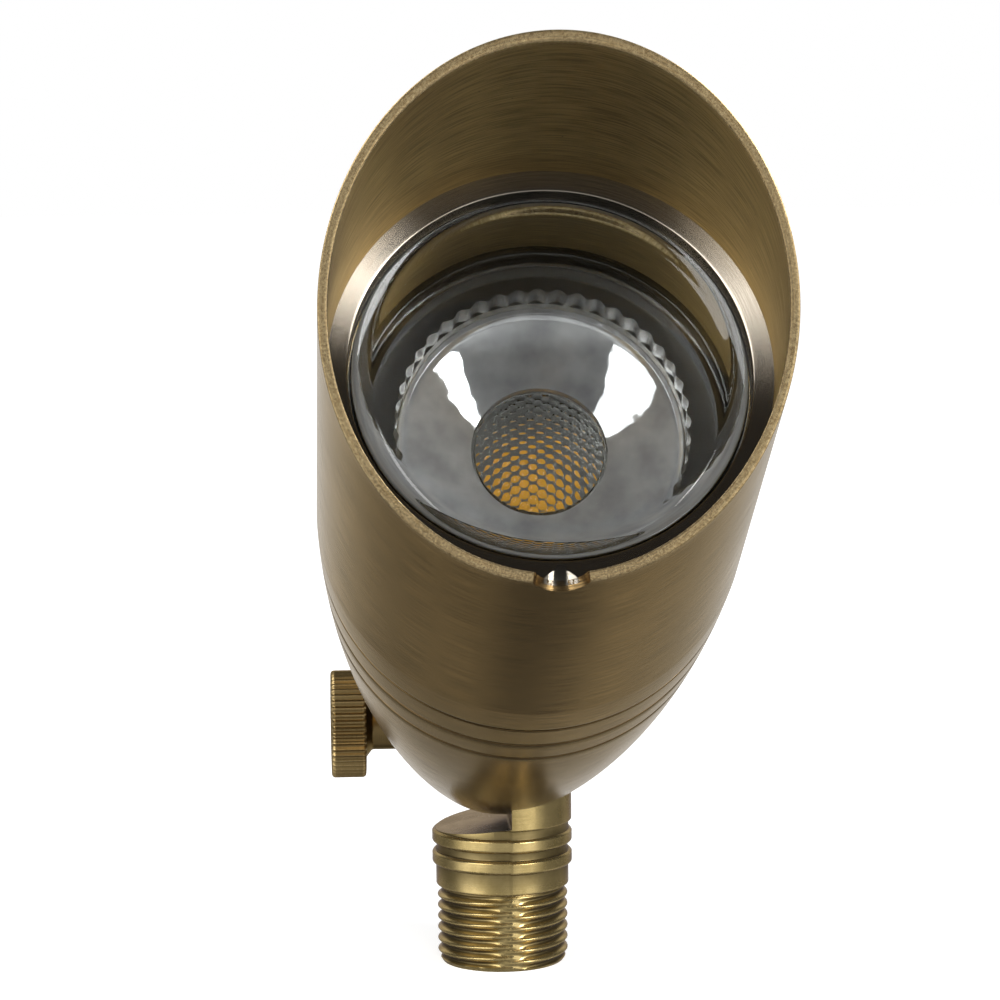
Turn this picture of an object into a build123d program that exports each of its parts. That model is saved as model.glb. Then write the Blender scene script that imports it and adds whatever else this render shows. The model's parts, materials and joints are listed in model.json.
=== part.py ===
"""Landscape spotlight: a slant-cut hood on a bullet housing, tilting on a half-lap knuckle and threaded stem.

Frame: +Z up along the stem, origin on the stem's axis at its lower end, light facing -Y, thumbscrew on -X.
The head is drawn upright, with its axis on Z and the pivot at zero, and is then laid over to its tilt.
All sizes are in millimetres and degrees.
"""
import os
from math import cos, hypot, pi, radians, sin, sqrt, tan

from build123d import *

# Clearances
run_clearance = 0.1
slip_clearance = 0.15
body_gap = 0.3
knuckle_gap = 0.6

# Pose
lamp_elevation = 29.5

# Stem
thread_radius = 10.65
thread_length = 12.8
plain_radius = 10.85
plain_length = 3.4
flange_radius = 11.45
flange_height = 2.2
flange_chamfer = 0.35
flange_groove_height = 1.3
flange_groove_depth = 0.75
neck_groove_height = 1.5
neck_groove_depth = 0.5
tongue_radius = 11.4
tongue_flat_x = 1.0
tongue_round = 11.2
floor_height = 23.6
floor_slope = 8.0
entry_radius = 4.3
entry_length = 10.0
bush_bore_radius = 3.6
bush_bore_length = 9.0

# Wire way through the knuckle
wire_hole_radius = 1.9
wire_ring_radius = 6.4
wire_groove_reach = 100.0
wire_web = 1.0
wire_rise_run = 3.4
wire_rise_foot = 2.2
bush_wire_radius = 0.9
bush_wire_spacing = 3.8

# Housing
ball_radius = 15.2
crease_station = 88.5
crease_taper = 1.9
skirt_length = 7.9
seam_width = 0.7
groove_pitch = 7.65
groove_width = 0.7
groove_depth = 0.55
groove_count = 2
tail_floor_station = 28.0
tail_wall = 2.8
shoulder_station = 60.8
spigot_wall = 2.6

# Seals
knuckle_seal_inset = 1.3
knuckle_seal_thickness = 1.6
hood_seal_thickness = 1.8
hood_seal_setback = 4.0
seal_groove_side = 0.15
grommet_collar = 1.1
grommet_plug_length = 3.0
grommet_flange = 1.4
grommet_flange_height = 1.2
grommet_bore = 1.5

# Lamp
lamp_radius = 24.9
lamp_side_clearance = 0.5
lamp_rim_height = 5.0
lamp_cup_height = 32.0
lamp_cup_wall = 1.4
lamp_cup_neck = 10.5
lamp_cup_bulge = 4.2
lamp_base_height = 11.5
lamp_base_width = 18.0
lamp_base_depth = 12.0
lamp_base_round = 3.0
pin_spacing = 5.33
pin_radius = 0.78
pin_length = 7.5
core_radius = 8.6
core_height = 8.0
core_lift = 4.6
board_radius = 11.0
board_thickness = 1.4
cob_radius = 6.5
cob_thickness = 0.8
optic_height = 14.0
optic_edge_height = 3.0
optic_foot_radius = 9.2
optic_flank_bulge = 1.1
optic_cavity_radius = 7.4
optic_cavity_height = 5.0
optic_rim_width = 1.0
optic_bowl_depth = 3.7
optic_bowl_sag = 0.35
optic_lens_radius = 8.6
optic_lens_moat = 0.3
optic_lens_depth = 5.6
optic_lens_dome = 2.6
optic_face_setback = 5.4
ring_inner_clearance = 0.2
ring_outer_gap = 1.1
ring_width = 3.9
ring_height = 6.2
ring_setback = 0.9
ring_flange_height = 0.9
ring_flute_count = 44
ring_flute_radius = 0.95
ring_flute_land = 0.8

# Socket and bracket
bracket_thickness = 1.2
bracket_width = 14.0
bracket_edge_gap = 0.3
bracket_screw_inset = 2.9
bracket_screw_radius = 1.5
bracket_screw_head_radius = 2.5
bracket_screw_head_height = 1.7
bracket_screw_length = 6.0
socket_height = 12.2
socket_width = 22.0
socket_depth = 12.0
socket_round = 2.5
socket_screw_spacing = 15.0
socket_screw_radius = 1.25
socket_screw_head_radius = 2.1
socket_screw_head_height = 1.6
socket_screw_sink = 2.2
contact_wall = 0.6
contact_length = 10.0

# Lens and hood
lens_gap = 10.4
lens_flange_thickness = 4.0
lens_crown_height = 3.6
lens_crown_round = 2.9
lens_edge_gap = 0.4
gasket_thickness = 1.0
gasket_seat_gap = 0.1
gasket_setback = 0.5
rear_gasket_setback = 0.9
lip_overlap = 1.6
lip_thickness = 2.9
crown_side_gap = 0.6
hood_skirt_wall = 1.9
hood_rim_wall = 1.25
hood_reach = 18.1
hood_cut_angle = 29.15
drain_radius = 2.65
drain_mouth_radius = 3.9
drain_rise = 1.4

# Thumbscrew and washer
screw_radius = 3.0
screw_hole_clearance = 0.25
screw_engagement = 7.6
screw_hole_depth = 8.8
spot_face_depth = 2.6
spot_face_margin = 0.8
washer_radius = 5.2
washer_thickness = 1.0
neck_radius = 4.25
neck_end_distance = 21.0
knob_radius = 8.7
knob_width = 5.6
knob_chamfer = 0.7
knob_shoulder_radius = 5.55
knob_shoulder_height = 1.0
knurl_count = 48
knurl_depth = 0.45

# Radii that follow from the lamp outwards
cavity_radius = lamp_radius + lamp_side_clearance
spigot_radius = cavity_radius + spigot_wall
hood_bore = spigot_radius + run_clearance
hood_radius = hood_bore + hood_skirt_wall
hood_inside = hood_radius - hood_rim_wall
lens_radius = hood_bore - lens_edge_gap
lip_opening_radius = lens_radius - lip_overlap
cup_inside = lamp_radius - lamp_cup_wall
ring_outer = cup_inside - ring_outer_gap
ring_inner = ring_outer - ring_width
optic_radius = ring_inner - ring_inner_clearance

# Stations along the head's axis, counted from the pivot
seam_station = crease_station - skirt_length
bracket_top = shoulder_station + bracket_thickness
socket_top = bracket_top + socket_height
lamp_foot = socket_top + body_gap
lamp_cup_foot = lamp_foot + lamp_base_height
lamp_face = lamp_cup_foot + lamp_cup_height
lens_back = lamp_face + lens_gap
lens_flange_front = lens_back + lens_flange_thickness
lip_back = lens_flange_front + gasket_thickness + gasket_seat_gap
ledge_station = lip_back + lip_thickness
spigot_end = lens_back - gasket_thickness - gasket_seat_gap
cut_station = ledge_station + hood_reach
hood_tip = cut_station + hood_radius * tan(radians(hood_cut_angle))
hood_low = cut_station - hood_radius * tan(radians(hood_cut_angle))

# Heights on the stem
flange_low_foot = thread_length + plain_length
flange_groove_foot = flange_low_foot + flange_height
flange_top_foot = flange_groove_foot + flange_groove_height
neck_groove_foot = flange_top_foot + flange_height
tongue_foot = neck_groove_foot + neck_groove_height
pivot_height = floor_height + knuckle_gap + ball_radius

# Knuckle planes
housing_flat_x = tongue_flat_x - body_gap
relief_station = tongue_round + body_gap + slip_clearance
knuckle_seal_radius = tongue_round - knuckle_seal_inset
wire_way_x = housing_flat_x - wire_web - wire_hole_radius
spot_face_distance = ball_radius - spot_face_depth

# Far enough to pass through everything
beyond = 4 * (hood_tip + pivot_height)

# The ogive is an arc through the crease that is tangent to the ball end
ogive_radius = (crease_station**2 + hood_radius**2 - ball_radius**2) / (
    2 * (hood_radius * cos(radians(crease_taper)) - crease_station * sin(radians(crease_taper)) - ball_radius)
)
ogive_centre_r = hood_radius - ogive_radius * cos(radians(crease_taper))
ogive_centre_s = crease_station + ogive_radius * sin(radians(crease_taper))

head_place = Location((0, 0, pivot_height), (90 - lamp_elevation, 0, 0))
pivot_place = Location((0, 0, pivot_height), (0, -90, 0))


def ogive_at(station):
    """Radius of the ogive at a station along the head's axis."""
    return ogive_centre_r + sqrt(ogive_radius**2 - (station - ogive_centre_s) ** 2)


def ball_tangent():
    """Point where the ogive runs into the ball end, as (radius, station)."""
    reach = hypot(ogive_centre_r, ogive_centre_s)
    return (-ogive_centre_r * ball_radius / reach, -ogive_centre_s * ball_radius / reach)


def ogive_arc(start, end):
    """Arc of the ogive between two stations, as an edge in (radius, station)."""
    middle = (start + end) / 2
    return ThreePointArc((ogive_at(start), start), (ogive_at(middle), middle), (ogive_at(end), end))


def turned(edges):
    """Solid of revolution about Z from a closed run of edges in (radius, station)."""
    return revolve(Plane.XZ * make_face(edges), Axis.Z)


def lathe(*points):
    """Solid of revolution about Z from the corners of its half section."""
    return turned(Polyline(*points, close=True))


def disc(radius, low, high, x=0.0, y=0.0):
    """Upright cylinder between two stations."""
    return Pos(x, y, low) * Cylinder(radius, high - low, align=(Align.CENTER, Align.CENTER, Align.MIN))


def tube(inner, outer, low, high, x=0.0, y=0.0):
    """Upright ring between two stations."""
    return disc(outer, low, high, x, y) - disc(inner, low, high, x, y)


def block(width, depth, corner, low, high):
    """Upright bar with rounded corners between two stations."""
    return Pos(0, 0, low) * extrude(RectangleRounded(width, depth, corner), high - low)


def along_x(radius, start, end):
    """Cylinder along X through the pivot at zero."""
    return Pos(start, 0, 0) * Rot(0, 90, 0) * Cylinder(
        radius, end - start, align=(Align.CENTER, Align.CENTER, Align.MIN)
    )


def make_stem():
    """Threaded stem with two flanges and the right half of the knuckle."""
    groove_radius = flange_radius - flange_groove_depth
    neck_radius_low = tongue_radius - neck_groove_depth
    stem = lathe(
        (0, 0), (thread_radius, 0), (thread_radius, thread_length),
        (plain_radius, thread_length), (plain_radius, flange_low_foot),
        (flange_radius - flange_chamfer, flange_low_foot),
        (flange_radius, flange_low_foot + flange_chamfer),
        (flange_radius, flange_groove_foot - flange_chamfer),
        (flange_radius - flange_chamfer, flange_groove_foot),
        (groove_radius, flange_groove_foot), (groove_radius, flange_top_foot),
        (flange_radius - flange_chamfer, flange_top_foot),
        (flange_radius, flange_top_foot + flange_chamfer),
        (flange_radius, neck_groove_foot - flange_chamfer),
        (flange_radius - flange_chamfer, neck_groove_foot),
        (neck_radius_low, neck_groove_foot), (neck_radius_low, tongue_foot),
        (tongue_radius, tongue_foot), (tongue_radius, pivot_height + tongue_round),
        (0, pivot_height + tongue_round),
    )
    # The tongue's top is round about the pivot
    round_top = Pos(0, 0, pivot_height) * along_x(tongue_round, 0, 2 * tongue_radius)
    above_pivot = Pos(0, 0, pivot_height) * Box(
        beyond, beyond, beyond, align=(Align.CENTER, Align.CENTER, Align.MIN)
    )
    stem -= above_pivot - round_top
    # The left half is milled away down to a floor that falls outwards
    fall = beyond * tan(radians(floor_slope))
    milled = Polyline(
        (tongue_flat_x, floor_height), (tongue_flat_x, beyond), (tongue_flat_x - beyond, beyond),
        (tongue_flat_x - beyond, floor_height - fall), close=True,
    )
    stem -= extrude(Plane.XZ * make_face(milled), beyond / 2, both=True)
    # Wire way: entry, bush seat, slanting rise and a cross hole on to the knuckle's flat
    bush_top = entry_length + bush_bore_length
    stem -= disc(entry_radius, 0, entry_length)
    stem -= disc(bush_bore_radius, entry_length, bush_top)
    cross_height = pivot_height - wire_ring_radius
    rise_foot = Vector(wire_rise_foot, 0, bush_top - 2 * wire_hole_radius)
    rise_top = Vector(wire_rise_foot + wire_rise_run, 0, cross_height)
    rise = Plane(origin=rise_foot, z_dir=rise_top - rise_foot) * Cylinder(
        wire_hole_radius, (rise_top - rise_foot).length, align=(Align.CENTER, Align.CENTER, Align.MIN)
    )
    stem -= rise
    stem -= Pos(0, 0, cross_height) * along_x(wire_hole_radius, tongue_flat_x, rise_top.X + wire_hole_radius)
    # Tapped hole for the thumbscrew
    tapped = along_x(screw_radius + run_clearance, tongue_flat_x, tongue_flat_x + screw_hole_depth)
    return stem - Pos(0, 0, pivot_height) * tapped


def make_wire_bush():
    """Soft plug in the stem with a hole for each conductor."""
    low = entry_length + slip_clearance
    high = entry_length + bush_bore_length - 2 * wire_hole_radius
    bush = disc(bush_bore_radius - slip_clearance, low, high)
    for side in (-1, 1):
        bush -= disc(bush_wire_radius, low, high, x=side * bush_wire_spacing / 2)
    return bush


def make_housing():
    """Bullet housing: front spigot, grooved ogive and the left half of the knuckle in a ball end."""
    tangent_r, tangent_s = ball_tangent()
    shoulder_face = seam_station - seam_width / 2
    half = radians(45)
    middle_s = -ball_radius * cos(half)
    housing = turned([
        Polyline(
            (0, spigot_end), (spigot_radius, spigot_end), (spigot_radius, shoulder_face),
            (ogive_at(shoulder_face), shoulder_face),
        ),
        ogive_arc(shoulder_face, tangent_s),
        ThreePointArc((tangent_r, tangent_s), (ball_radius * sin(half), middle_s), (0, -ball_radius)),
        Line((0, -ball_radius), (0, spigot_end)),
    ])
    housing -= disc(cavity_radius, shoulder_station, spigot_end)
    tail_cavity = ogive_at(tail_floor_station) - tail_wall
    housing -= disc(tail_cavity, tail_floor_station, shoulder_station)
    for index in range(groove_count):
        station = seam_station - groove_pitch * (index + 1)
        root = ogive_at(station) - groove_depth
        housing -= tube(root, hood_radius, station - groove_width / 2, station + groove_width / 2)
    # Seat of the hood's seal on the spigot
    seal_station = shoulder_face + hood_seal_setback
    seal_half = hood_seal_thickness / 2 + seal_groove_side
    seal_root = hood_bore - hood_seal_thickness - seal_groove_side
    housing -= tube(seal_root, hood_radius, seal_station - seal_half, seal_station + seal_half)
    # The right half is milled back past the stem's tongue
    housing -= Pos(housing_flat_x, 0, relief_station) * Box(
        beyond, beyond, beyond, align=(Align.MIN, Align.CENTER, Align.MAX)
    )
    # Thumbscrew hole and its spot face
    housing -= along_x(screw_radius + screw_hole_clearance, -beyond, housing_flat_x)
    housing -= along_x(washer_radius + spot_face_margin, -beyond, -spot_face_distance)
    housing -= knuckle_seal_groove()
    housing -= wire_groove()
    # Axial hole from the wire groove up into the cavity, with a seat for the grommet
    housing -= disc(wire_hole_radius, 0, tail_floor_station, wire_way_x, wire_ring_radius)
    grommet_seat = wire_hole_radius + grommet_collar
    seat_foot = tail_floor_station - grommet_plug_length
    housing -= disc(grommet_seat, seat_foot, tail_floor_station, wire_way_x, wire_ring_radius)
    # Tapped holes for the bracket's screws
    for side in (-1, 1):
        housing -= disc(
            bracket_screw_radius + run_clearance, shoulder_station - bracket_screw_length,
            shoulder_station, x=side * bracket_screw_distance(),
        )
    return housing


def knuckle_seal_groove():
    """Ring-shaped cut in the housing's flat for the knuckle's seal."""
    half = knuckle_seal_thickness / 2 + seal_groove_side
    floor_x = housing_flat_x + body_gap - run_clearance - knuckle_seal_thickness - seal_groove_side
    outer = along_x(knuckle_seal_radius + half, floor_x, housing_flat_x)
    return outer - along_x(knuckle_seal_radius - half, floor_x, housing_flat_x)


def wire_groove():
    """Arc-shaped cut round the pivot that lets the wires follow the tilt."""
    floor_x = wire_way_x - wire_hole_radius
    ring = along_x(wire_ring_radius + wire_hole_radius, floor_x, housing_flat_x)
    ring -= along_x(wire_ring_radius - wire_hole_radius, floor_x, housing_flat_x)
    reach = radians(wire_groove_reach)
    far = 2 * (wire_ring_radius + wire_hole_radius)
    keep = Polyline(
        (0, 0), (far * sin(reach), -far * cos(reach)), (far * sin(reach), far), (-far * sin(reach), far),
        (-far * sin(reach), -far * cos(reach)), close=True,
    )
    return ring - extrude(Plane.YZ * make_face(keep), beyond, both=True)


def bracket_screw_distance():
    """Distance of each bracket screw from the head's axis."""
    return cavity_radius - bracket_screw_inset


def make_knuckle_seal():
    """Ring seal between the two flats of the knuckle."""
    half = knuckle_seal_thickness / 2
    centre_x = housing_flat_x + body_gap - run_clearance - half
    return Pos(centre_x, 0, 0) * Rot(0, 90, 0) * Torus(knuckle_seal_radius, half)


def make_hood_seal():
    """Ring seal between the housing's spigot and the hood."""
    half = hood_seal_thickness / 2
    station = seam_station - seam_width / 2 + hood_seal_setback
    return Pos(0, 0, station) * Torus(hood_bore - run_clearance / 2 - half, half)


def make_wire_grommet():
    """Soft collar where the wires leave the cavity."""
    seat = wire_hole_radius + grommet_collar - run_clearance
    foot = tail_floor_station - grommet_plug_length
    flange_top = tail_floor_station + grommet_flange_height
    collar = lathe(
        (grommet_bore, foot), (seat, foot), (seat, tail_floor_station),
        (seat + grommet_flange, tail_floor_station), (seat + grommet_flange, flange_top),
        (grommet_bore, flange_top),
    )
    return Pos(wire_way_x, wire_ring_radius, 0) * collar


def make_socket_bracket():
    """Steel strap across the cavity that carries the socket."""
    strap = Pos(0, 0, shoulder_station) * Box(
        beyond, bracket_width, bracket_thickness, align=(Align.CENTER, Align.CENTER, Align.MIN)
    )
    strap &= disc(cavity_radius - bracket_edge_gap, shoulder_station, bracket_top)
    for side in (-1, 1):
        strap -= disc(
            bracket_screw_radius + slip_clearance, shoulder_station, bracket_top, x=side * bracket_screw_distance()
        )
        strap -= disc(
            socket_screw_radius + run_clearance, shoulder_station, bracket_top, x=side * socket_screw_spacing / 2
        )
        # Wire holes in line with the contacts
        strap -= disc(contact_radius(), shoulder_station, bracket_top, x=side * pin_spacing / 2)
    return strap


def contact_radius():
    """Outer radius of a contact sleeve."""
    return pin_radius + run_clearance + contact_wall


def make_bracket_screws():
    """Two pan-head screws that hold the strap on the housing's shoulder."""
    screws = []
    for side in (-1, 1):
        x = side * bracket_screw_distance()
        head = disc(bracket_screw_head_radius, bracket_top, bracket_top + bracket_screw_head_height, x)
        tip = bracket_top - bracket_screw_length
        screws.append(head + disc(bracket_screw_radius, tip, bracket_top, x))
    return Compound(children=screws)


def make_socket():
    """Ceramic lamp socket with two contact holes and two sunk screw holes."""
    socket = block(socket_width, socket_depth, socket_round, bracket_top, socket_top)
    for side in (-1, 1):
        contact_x = side * pin_spacing / 2
        screw_x = side * socket_screw_spacing / 2
        socket -= disc(contact_radius() + slip_clearance, bracket_top, socket_top, contact_x)
        socket -= disc(socket_screw_radius + slip_clearance, bracket_top, socket_top, screw_x)
        sink = socket_top - socket_screw_sink
        socket -= disc(socket_screw_head_radius + slip_clearance, sink, socket_top, screw_x)
    return socket


def make_socket_contacts():
    """Two sleeves that grip the lamp's pins."""
    sleeves = []
    for side in (-1, 1):
        sleeves.append(
            tube(
                pin_radius + run_clearance, contact_radius(), socket_top - contact_length, socket_top,
                x=side * pin_spacing / 2,
            )
        )
    return Compound(children=sleeves)


def make_socket_screws():
    """Two screws that hold the socket on the strap."""
    screws = []
    for side in (-1, 1):
        x = side * socket_screw_spacing / 2
        head_foot = socket_top - socket_screw_sink
        head = disc(socket_screw_head_radius, head_foot, head_foot + socket_screw_head_height, x)
        screws.append(head + disc(socket_screw_radius, shoulder_station, head_foot, x))
    return Compound(children=screws)


def cup_section(inset):
    """Half section of the lamp's cup, drawn in from the outside by an inset."""
    rim_foot = lamp_face - lamp_rim_height
    low = (lamp_cup_neck - inset, lamp_cup_foot)
    high = (lamp_radius - inset, rim_foot)
    middle = ((low[0] + high[0]) / 2 + lamp_cup_bulge, (low[1] + high[1]) / 2)
    return [
        Line((0, lamp_cup_foot), low),
        ThreePointArc(low, middle, high),
        Polyline(high, (lamp_radius - inset, lamp_face), (0, lamp_face), (0, lamp_cup_foot)),
    ]


def make_lamp_cup():
    """Glass cup of the lamp, with a closed foot and an open rim."""
    hollow = turned(cup_section(lamp_cup_wall))
    foot = disc(lamp_radius, lamp_cup_foot, lamp_cup_foot + lamp_cup_wall)
    return turned(cup_section(0)) - (hollow - foot)


def core_foot():
    """Station of the heat spreader's lower face."""
    return board_foot() - core_height


def board_foot():
    """Station of the LED board's lower face."""
    return optic_foot() - board_thickness


def optic_foot():
    """Station where the optic stands on the LED board."""
    return lamp_face - optic_face_setback - optic_height


def make_lamp_core():
    """Metal heat spreader under the LED board, on a stalk from the cup's foot."""
    stalk_radius = lamp_cup_neck - lamp_cup_wall - core_lift
    return disc(core_radius, core_foot(), board_foot()) + disc(
        stalk_radius, lamp_cup_foot + lamp_cup_wall, core_foot()
    )


def make_led_board():
    """Round board that carries the LED."""
    return disc(board_radius, board_foot(), optic_foot())


def make_led_cob():
    """Round LED with its phosphor face."""
    return disc(cob_radius, optic_foot(), optic_foot() + cob_thickness)


def make_lamp_optic():
    """Clear moulded optic: a flared body, a domed cavity over the LED, and a bowl with a domed lens in its face."""
    foot = optic_foot()
    face = foot + optic_height
    edge = face - optic_edge_height
    cavity_top = foot + optic_cavity_height
    shoulder_s = (foot + edge) / 2
    shoulder_r = (optic_foot_radius + optic_radius) / 2 + optic_flank_bulge
    floor = face - optic_lens_depth
    bowl_top = (optic_radius - optic_rim_width, face)
    bowl_foot = (optic_lens_radius + optic_lens_moat, face - optic_bowl_depth)
    bowl_middle = ((bowl_top[0] + bowl_foot[0]) / 2, (bowl_top[1] + bowl_foot[1]) / 2 - optic_bowl_sag)
    # The lens is a cap of a sphere on its own floor
    cap_radius = (optic_lens_radius**2 + optic_lens_dome**2) / (2 * optic_lens_dome)
    cap_half = optic_lens_radius / 2
    cap_middle = (cap_half, floor + optic_lens_dome - cap_radius + sqrt(cap_radius**2 - cap_half**2))
    section = [
        Line((0, cavity_top), (0, floor + optic_lens_dome)),
        ThreePointArc((0, floor + optic_lens_dome), cap_middle, (optic_lens_radius, floor)),
        Polyline((optic_lens_radius, floor), (bowl_foot[0], floor), bowl_foot),
        ThreePointArc(bowl_foot, bowl_middle, bowl_top),
        Polyline(bowl_top, (optic_radius, face), (optic_radius, edge)),
        ThreePointArc((optic_radius, edge), (shoulder_r, shoulder_s), (optic_foot_radius, foot)),
        Line((optic_foot_radius, foot), (optic_cavity_radius, foot)),
        Spline(
            (optic_cavity_radius, foot), (0, cavity_top), tangents=((0, 1), (-1, 0)),
        ),
    ]
    return turned(section)


def make_lamp_ring():
    """Clear ring round the optic, fluted inside above a plain land at the optic's edge."""
    top = lamp_face - ring_setback
    foot = top - ring_height
    face = lamp_face - optic_face_setback
    ring = tube(ring_inner, ring_outer, foot, top)
    flute = Pos(ring_inner, 0, 0) * disc(ring_flute_radius, face + ring_flute_land, top)
    ring -= [Rot(0, 0, 360 * index / ring_flute_count) * flute for index in range(ring_flute_count)]
    # A flange reaches out to the straight part of the cup's inner wall
    seat = lamp_face - lamp_rim_height + slip_clearance
    return ring + tube((ring_inner + ring_outer) / 2, cup_inside - run_clearance, seat, seat + ring_flange_height)


def make_lamp_base():
    """Ceramic base under the lamp's cup."""
    return block(lamp_base_width, lamp_base_depth, lamp_base_round, lamp_foot, lamp_cup_foot)


def make_lamp_pins():
    """Two pins of the lamp."""
    pins = []
    for side in (-1, 1):
        pins.append(disc(pin_radius, lamp_foot - pin_length, lamp_foot, x=side * pin_spacing / 2))
    return Compound(children=pins)


def make_lens():
    """Stepped glass lens: a flange behind the hood's lip and a crown that fills the opening."""
    crown = lip_opening_radius - crown_side_gap
    crown_top = lens_flange_front + lens_crown_height
    bend = sqrt(0.5)
    return turned([
        Polyline(
            (0, crown_top), (0, lens_back), (lens_radius, lens_back), (lens_radius, lens_flange_front),
            (crown, lens_flange_front), (crown, crown_top - lens_crown_round),
        ),
        ThreePointArc(
            (crown, crown_top - lens_crown_round),
            (crown - lens_crown_round * (1 - bend), crown_top - lens_crown_round * (1 - bend)),
            (crown - lens_crown_round, crown_top),
        ),
        Line((crown - lens_crown_round, crown_top), (0, crown_top)),
    ])


def make_lens_gasket():
    """Flat ring between the lens flange and the hood's lip, set back from the opening."""
    inner = lip_opening_radius + gasket_setback
    return tube(inner, lens_radius, lens_flange_front, lens_flange_front + gasket_thickness)


def make_rear_gasket():
    """Flat ring between the lens and the housing's spigot, set back from the cavity."""
    return tube(cavity_radius + rear_gasket_setback, lens_radius, lens_back - gasket_thickness, lens_back)


def make_hood():
    """Hood: tapered skirt, threaded bore, inner lip for the lens and a slant-cut mouth with a drain."""
    skirt_end = seam_station + seam_width / 2
    hood = turned([
        Line((hood_bore, skirt_end), (ogive_at(skirt_end), skirt_end)),
        ogive_arc(skirt_end, crease_station),
        Polyline(
            (hood_radius, crease_station), (hood_radius, hood_tip), (hood_inside, hood_tip),
            (hood_inside, ledge_station), (lip_opening_radius, ledge_station), (lip_opening_radius, lip_back),
            (hood_bore, lip_back), (hood_bore, skirt_end),
        ),
    ])
    # Slant cut, longest on the upper side
    mouth = Pos(0, 0, cut_station) * Rot(hood_cut_angle, 0, 0) * Box(
        beyond, beyond, beyond, align=(Align.CENTER, Align.CENTER, Align.MIN)
    )
    hood -= mouth
    # Drain scooped across the lip at the lowest point of the rim
    drain_length = hood_radius - lip_opening_radius
    drain_station = hood_low + drain_rise
    scoop = Pos(0, -lip_opening_radius, drain_station) * Rot(90, 0, 0) * Cone(
        drain_radius, drain_mouth_radius, drain_length, align=(Align.CENTER, Align.CENTER, Align.MIN)
    )
    inward = Pos(0, 0, drain_station) * Rot(90, 0, 0) * Cylinder(
        drain_radius, lip_opening_radius, align=(Align.CENTER, Align.CENTER, Align.MIN)
    )
    return hood - scoop - inward


def washer_seat():
    """Distance from the head's axis to the washer's inner face."""
    return spot_face_distance + run_clearance


def neck_foot():
    """Distance from the head's axis to the shoulder that bears on the washer."""
    return washer_seat() + washer_thickness + run_clearance


def make_thumbscrew():
    """Knurled thumbscrew: knob, flared neck and screw, drawn upright with its knob on top."""
    knob_foot = neck_end_distance + knob_shoulder_height
    knob_top = knob_foot + knob_width
    step = pi / knurl_count
    ridges = []
    for index in range(2 * knurl_count):
        reach = knob_radius - knurl_depth * (index % 2)
        ridges.append((reach * cos(step * index), reach * sin(step * index)))
    knob = Pos(0, 0, knob_foot) * extrude(make_face(Polyline(*ridges, close=True)), knob_width)
    knob &= lathe(
        (0, knob_foot), (knob_radius - knob_chamfer, knob_foot), (knob_radius, knob_foot + knob_chamfer),
        (knob_radius, knob_top - knob_chamfer), (knob_radius - knob_chamfer, knob_top), (0, knob_top),
    )
    shaft = lathe(
        (0, -tongue_flat_x - screw_engagement), (screw_radius, -tongue_flat_x - screw_engagement),
        (screw_radius, neck_foot()), (neck_radius, neck_foot()), (neck_radius, neck_end_distance),
        (knob_shoulder_radius, knob_foot), (0, knob_foot),
    )
    return knob + shaft


def make_washer():
    """Plain washer under the thumbscrew's shoulder."""
    return tube(screw_radius + slip_clearance, washer_radius, washer_seat(), washer_seat() + washer_thickness)


standing = {"stem": make_stem, "wire_bush": make_wire_bush}
in_head = {
    "housing": make_housing,
    "knuckle_seal": make_knuckle_seal,
    "hood_seal": make_hood_seal,
    "wire_grommet": make_wire_grommet,
    "socket_bracket": make_socket_bracket,
    "bracket_screws": make_bracket_screws,
    "lamp_socket": make_socket,
    "socket_contacts": make_socket_contacts,
    "socket_screws": make_socket_screws,
    "lamp_cup": make_lamp_cup,
    "lamp_core": make_lamp_core,
    "led_board": make_led_board,
    "led_cob": make_led_cob,
    "lamp_optic": make_lamp_optic,
    "lamp_ring": make_lamp_ring,
    "lamp_base": make_lamp_base,
    "lamp_pins": make_lamp_pins,
    "lens": make_lens,
    "lens_gasket": make_lens_gasket,
    "rear_gasket": make_rear_gasket,
    "hood": make_hood,
}
on_pivot = {"thumbscrew": make_thumbscrew, "thumbscrew_washer": make_washer}

os.makedirs("parts", exist_ok=True)
for place, group in ((Location(), standing), (head_place, in_head), (pivot_place, on_pivot)):
    for node, maker in group.items():
        export_step(maker().moved(place), f"parts/{node}.step")
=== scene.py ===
"""Landscape spotlight in a plain studio: brass hood, bullet housing, half-lap knuckle, stem and lamp.

Lengths are in millimetres until a mesh is finished, and in metres after that. A turned piece is drawn in
its own axes (across, up, along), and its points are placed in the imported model's frame, so every object
sits at the origin.
"""
import json
import logging
from dataclasses import dataclass, field
from enum import Enum
from math import cos, hypot, pi, radians, sin, sqrt, tan

import bmesh
import bpy
import numpy as np
from mathutils import Matrix, Vector

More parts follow.
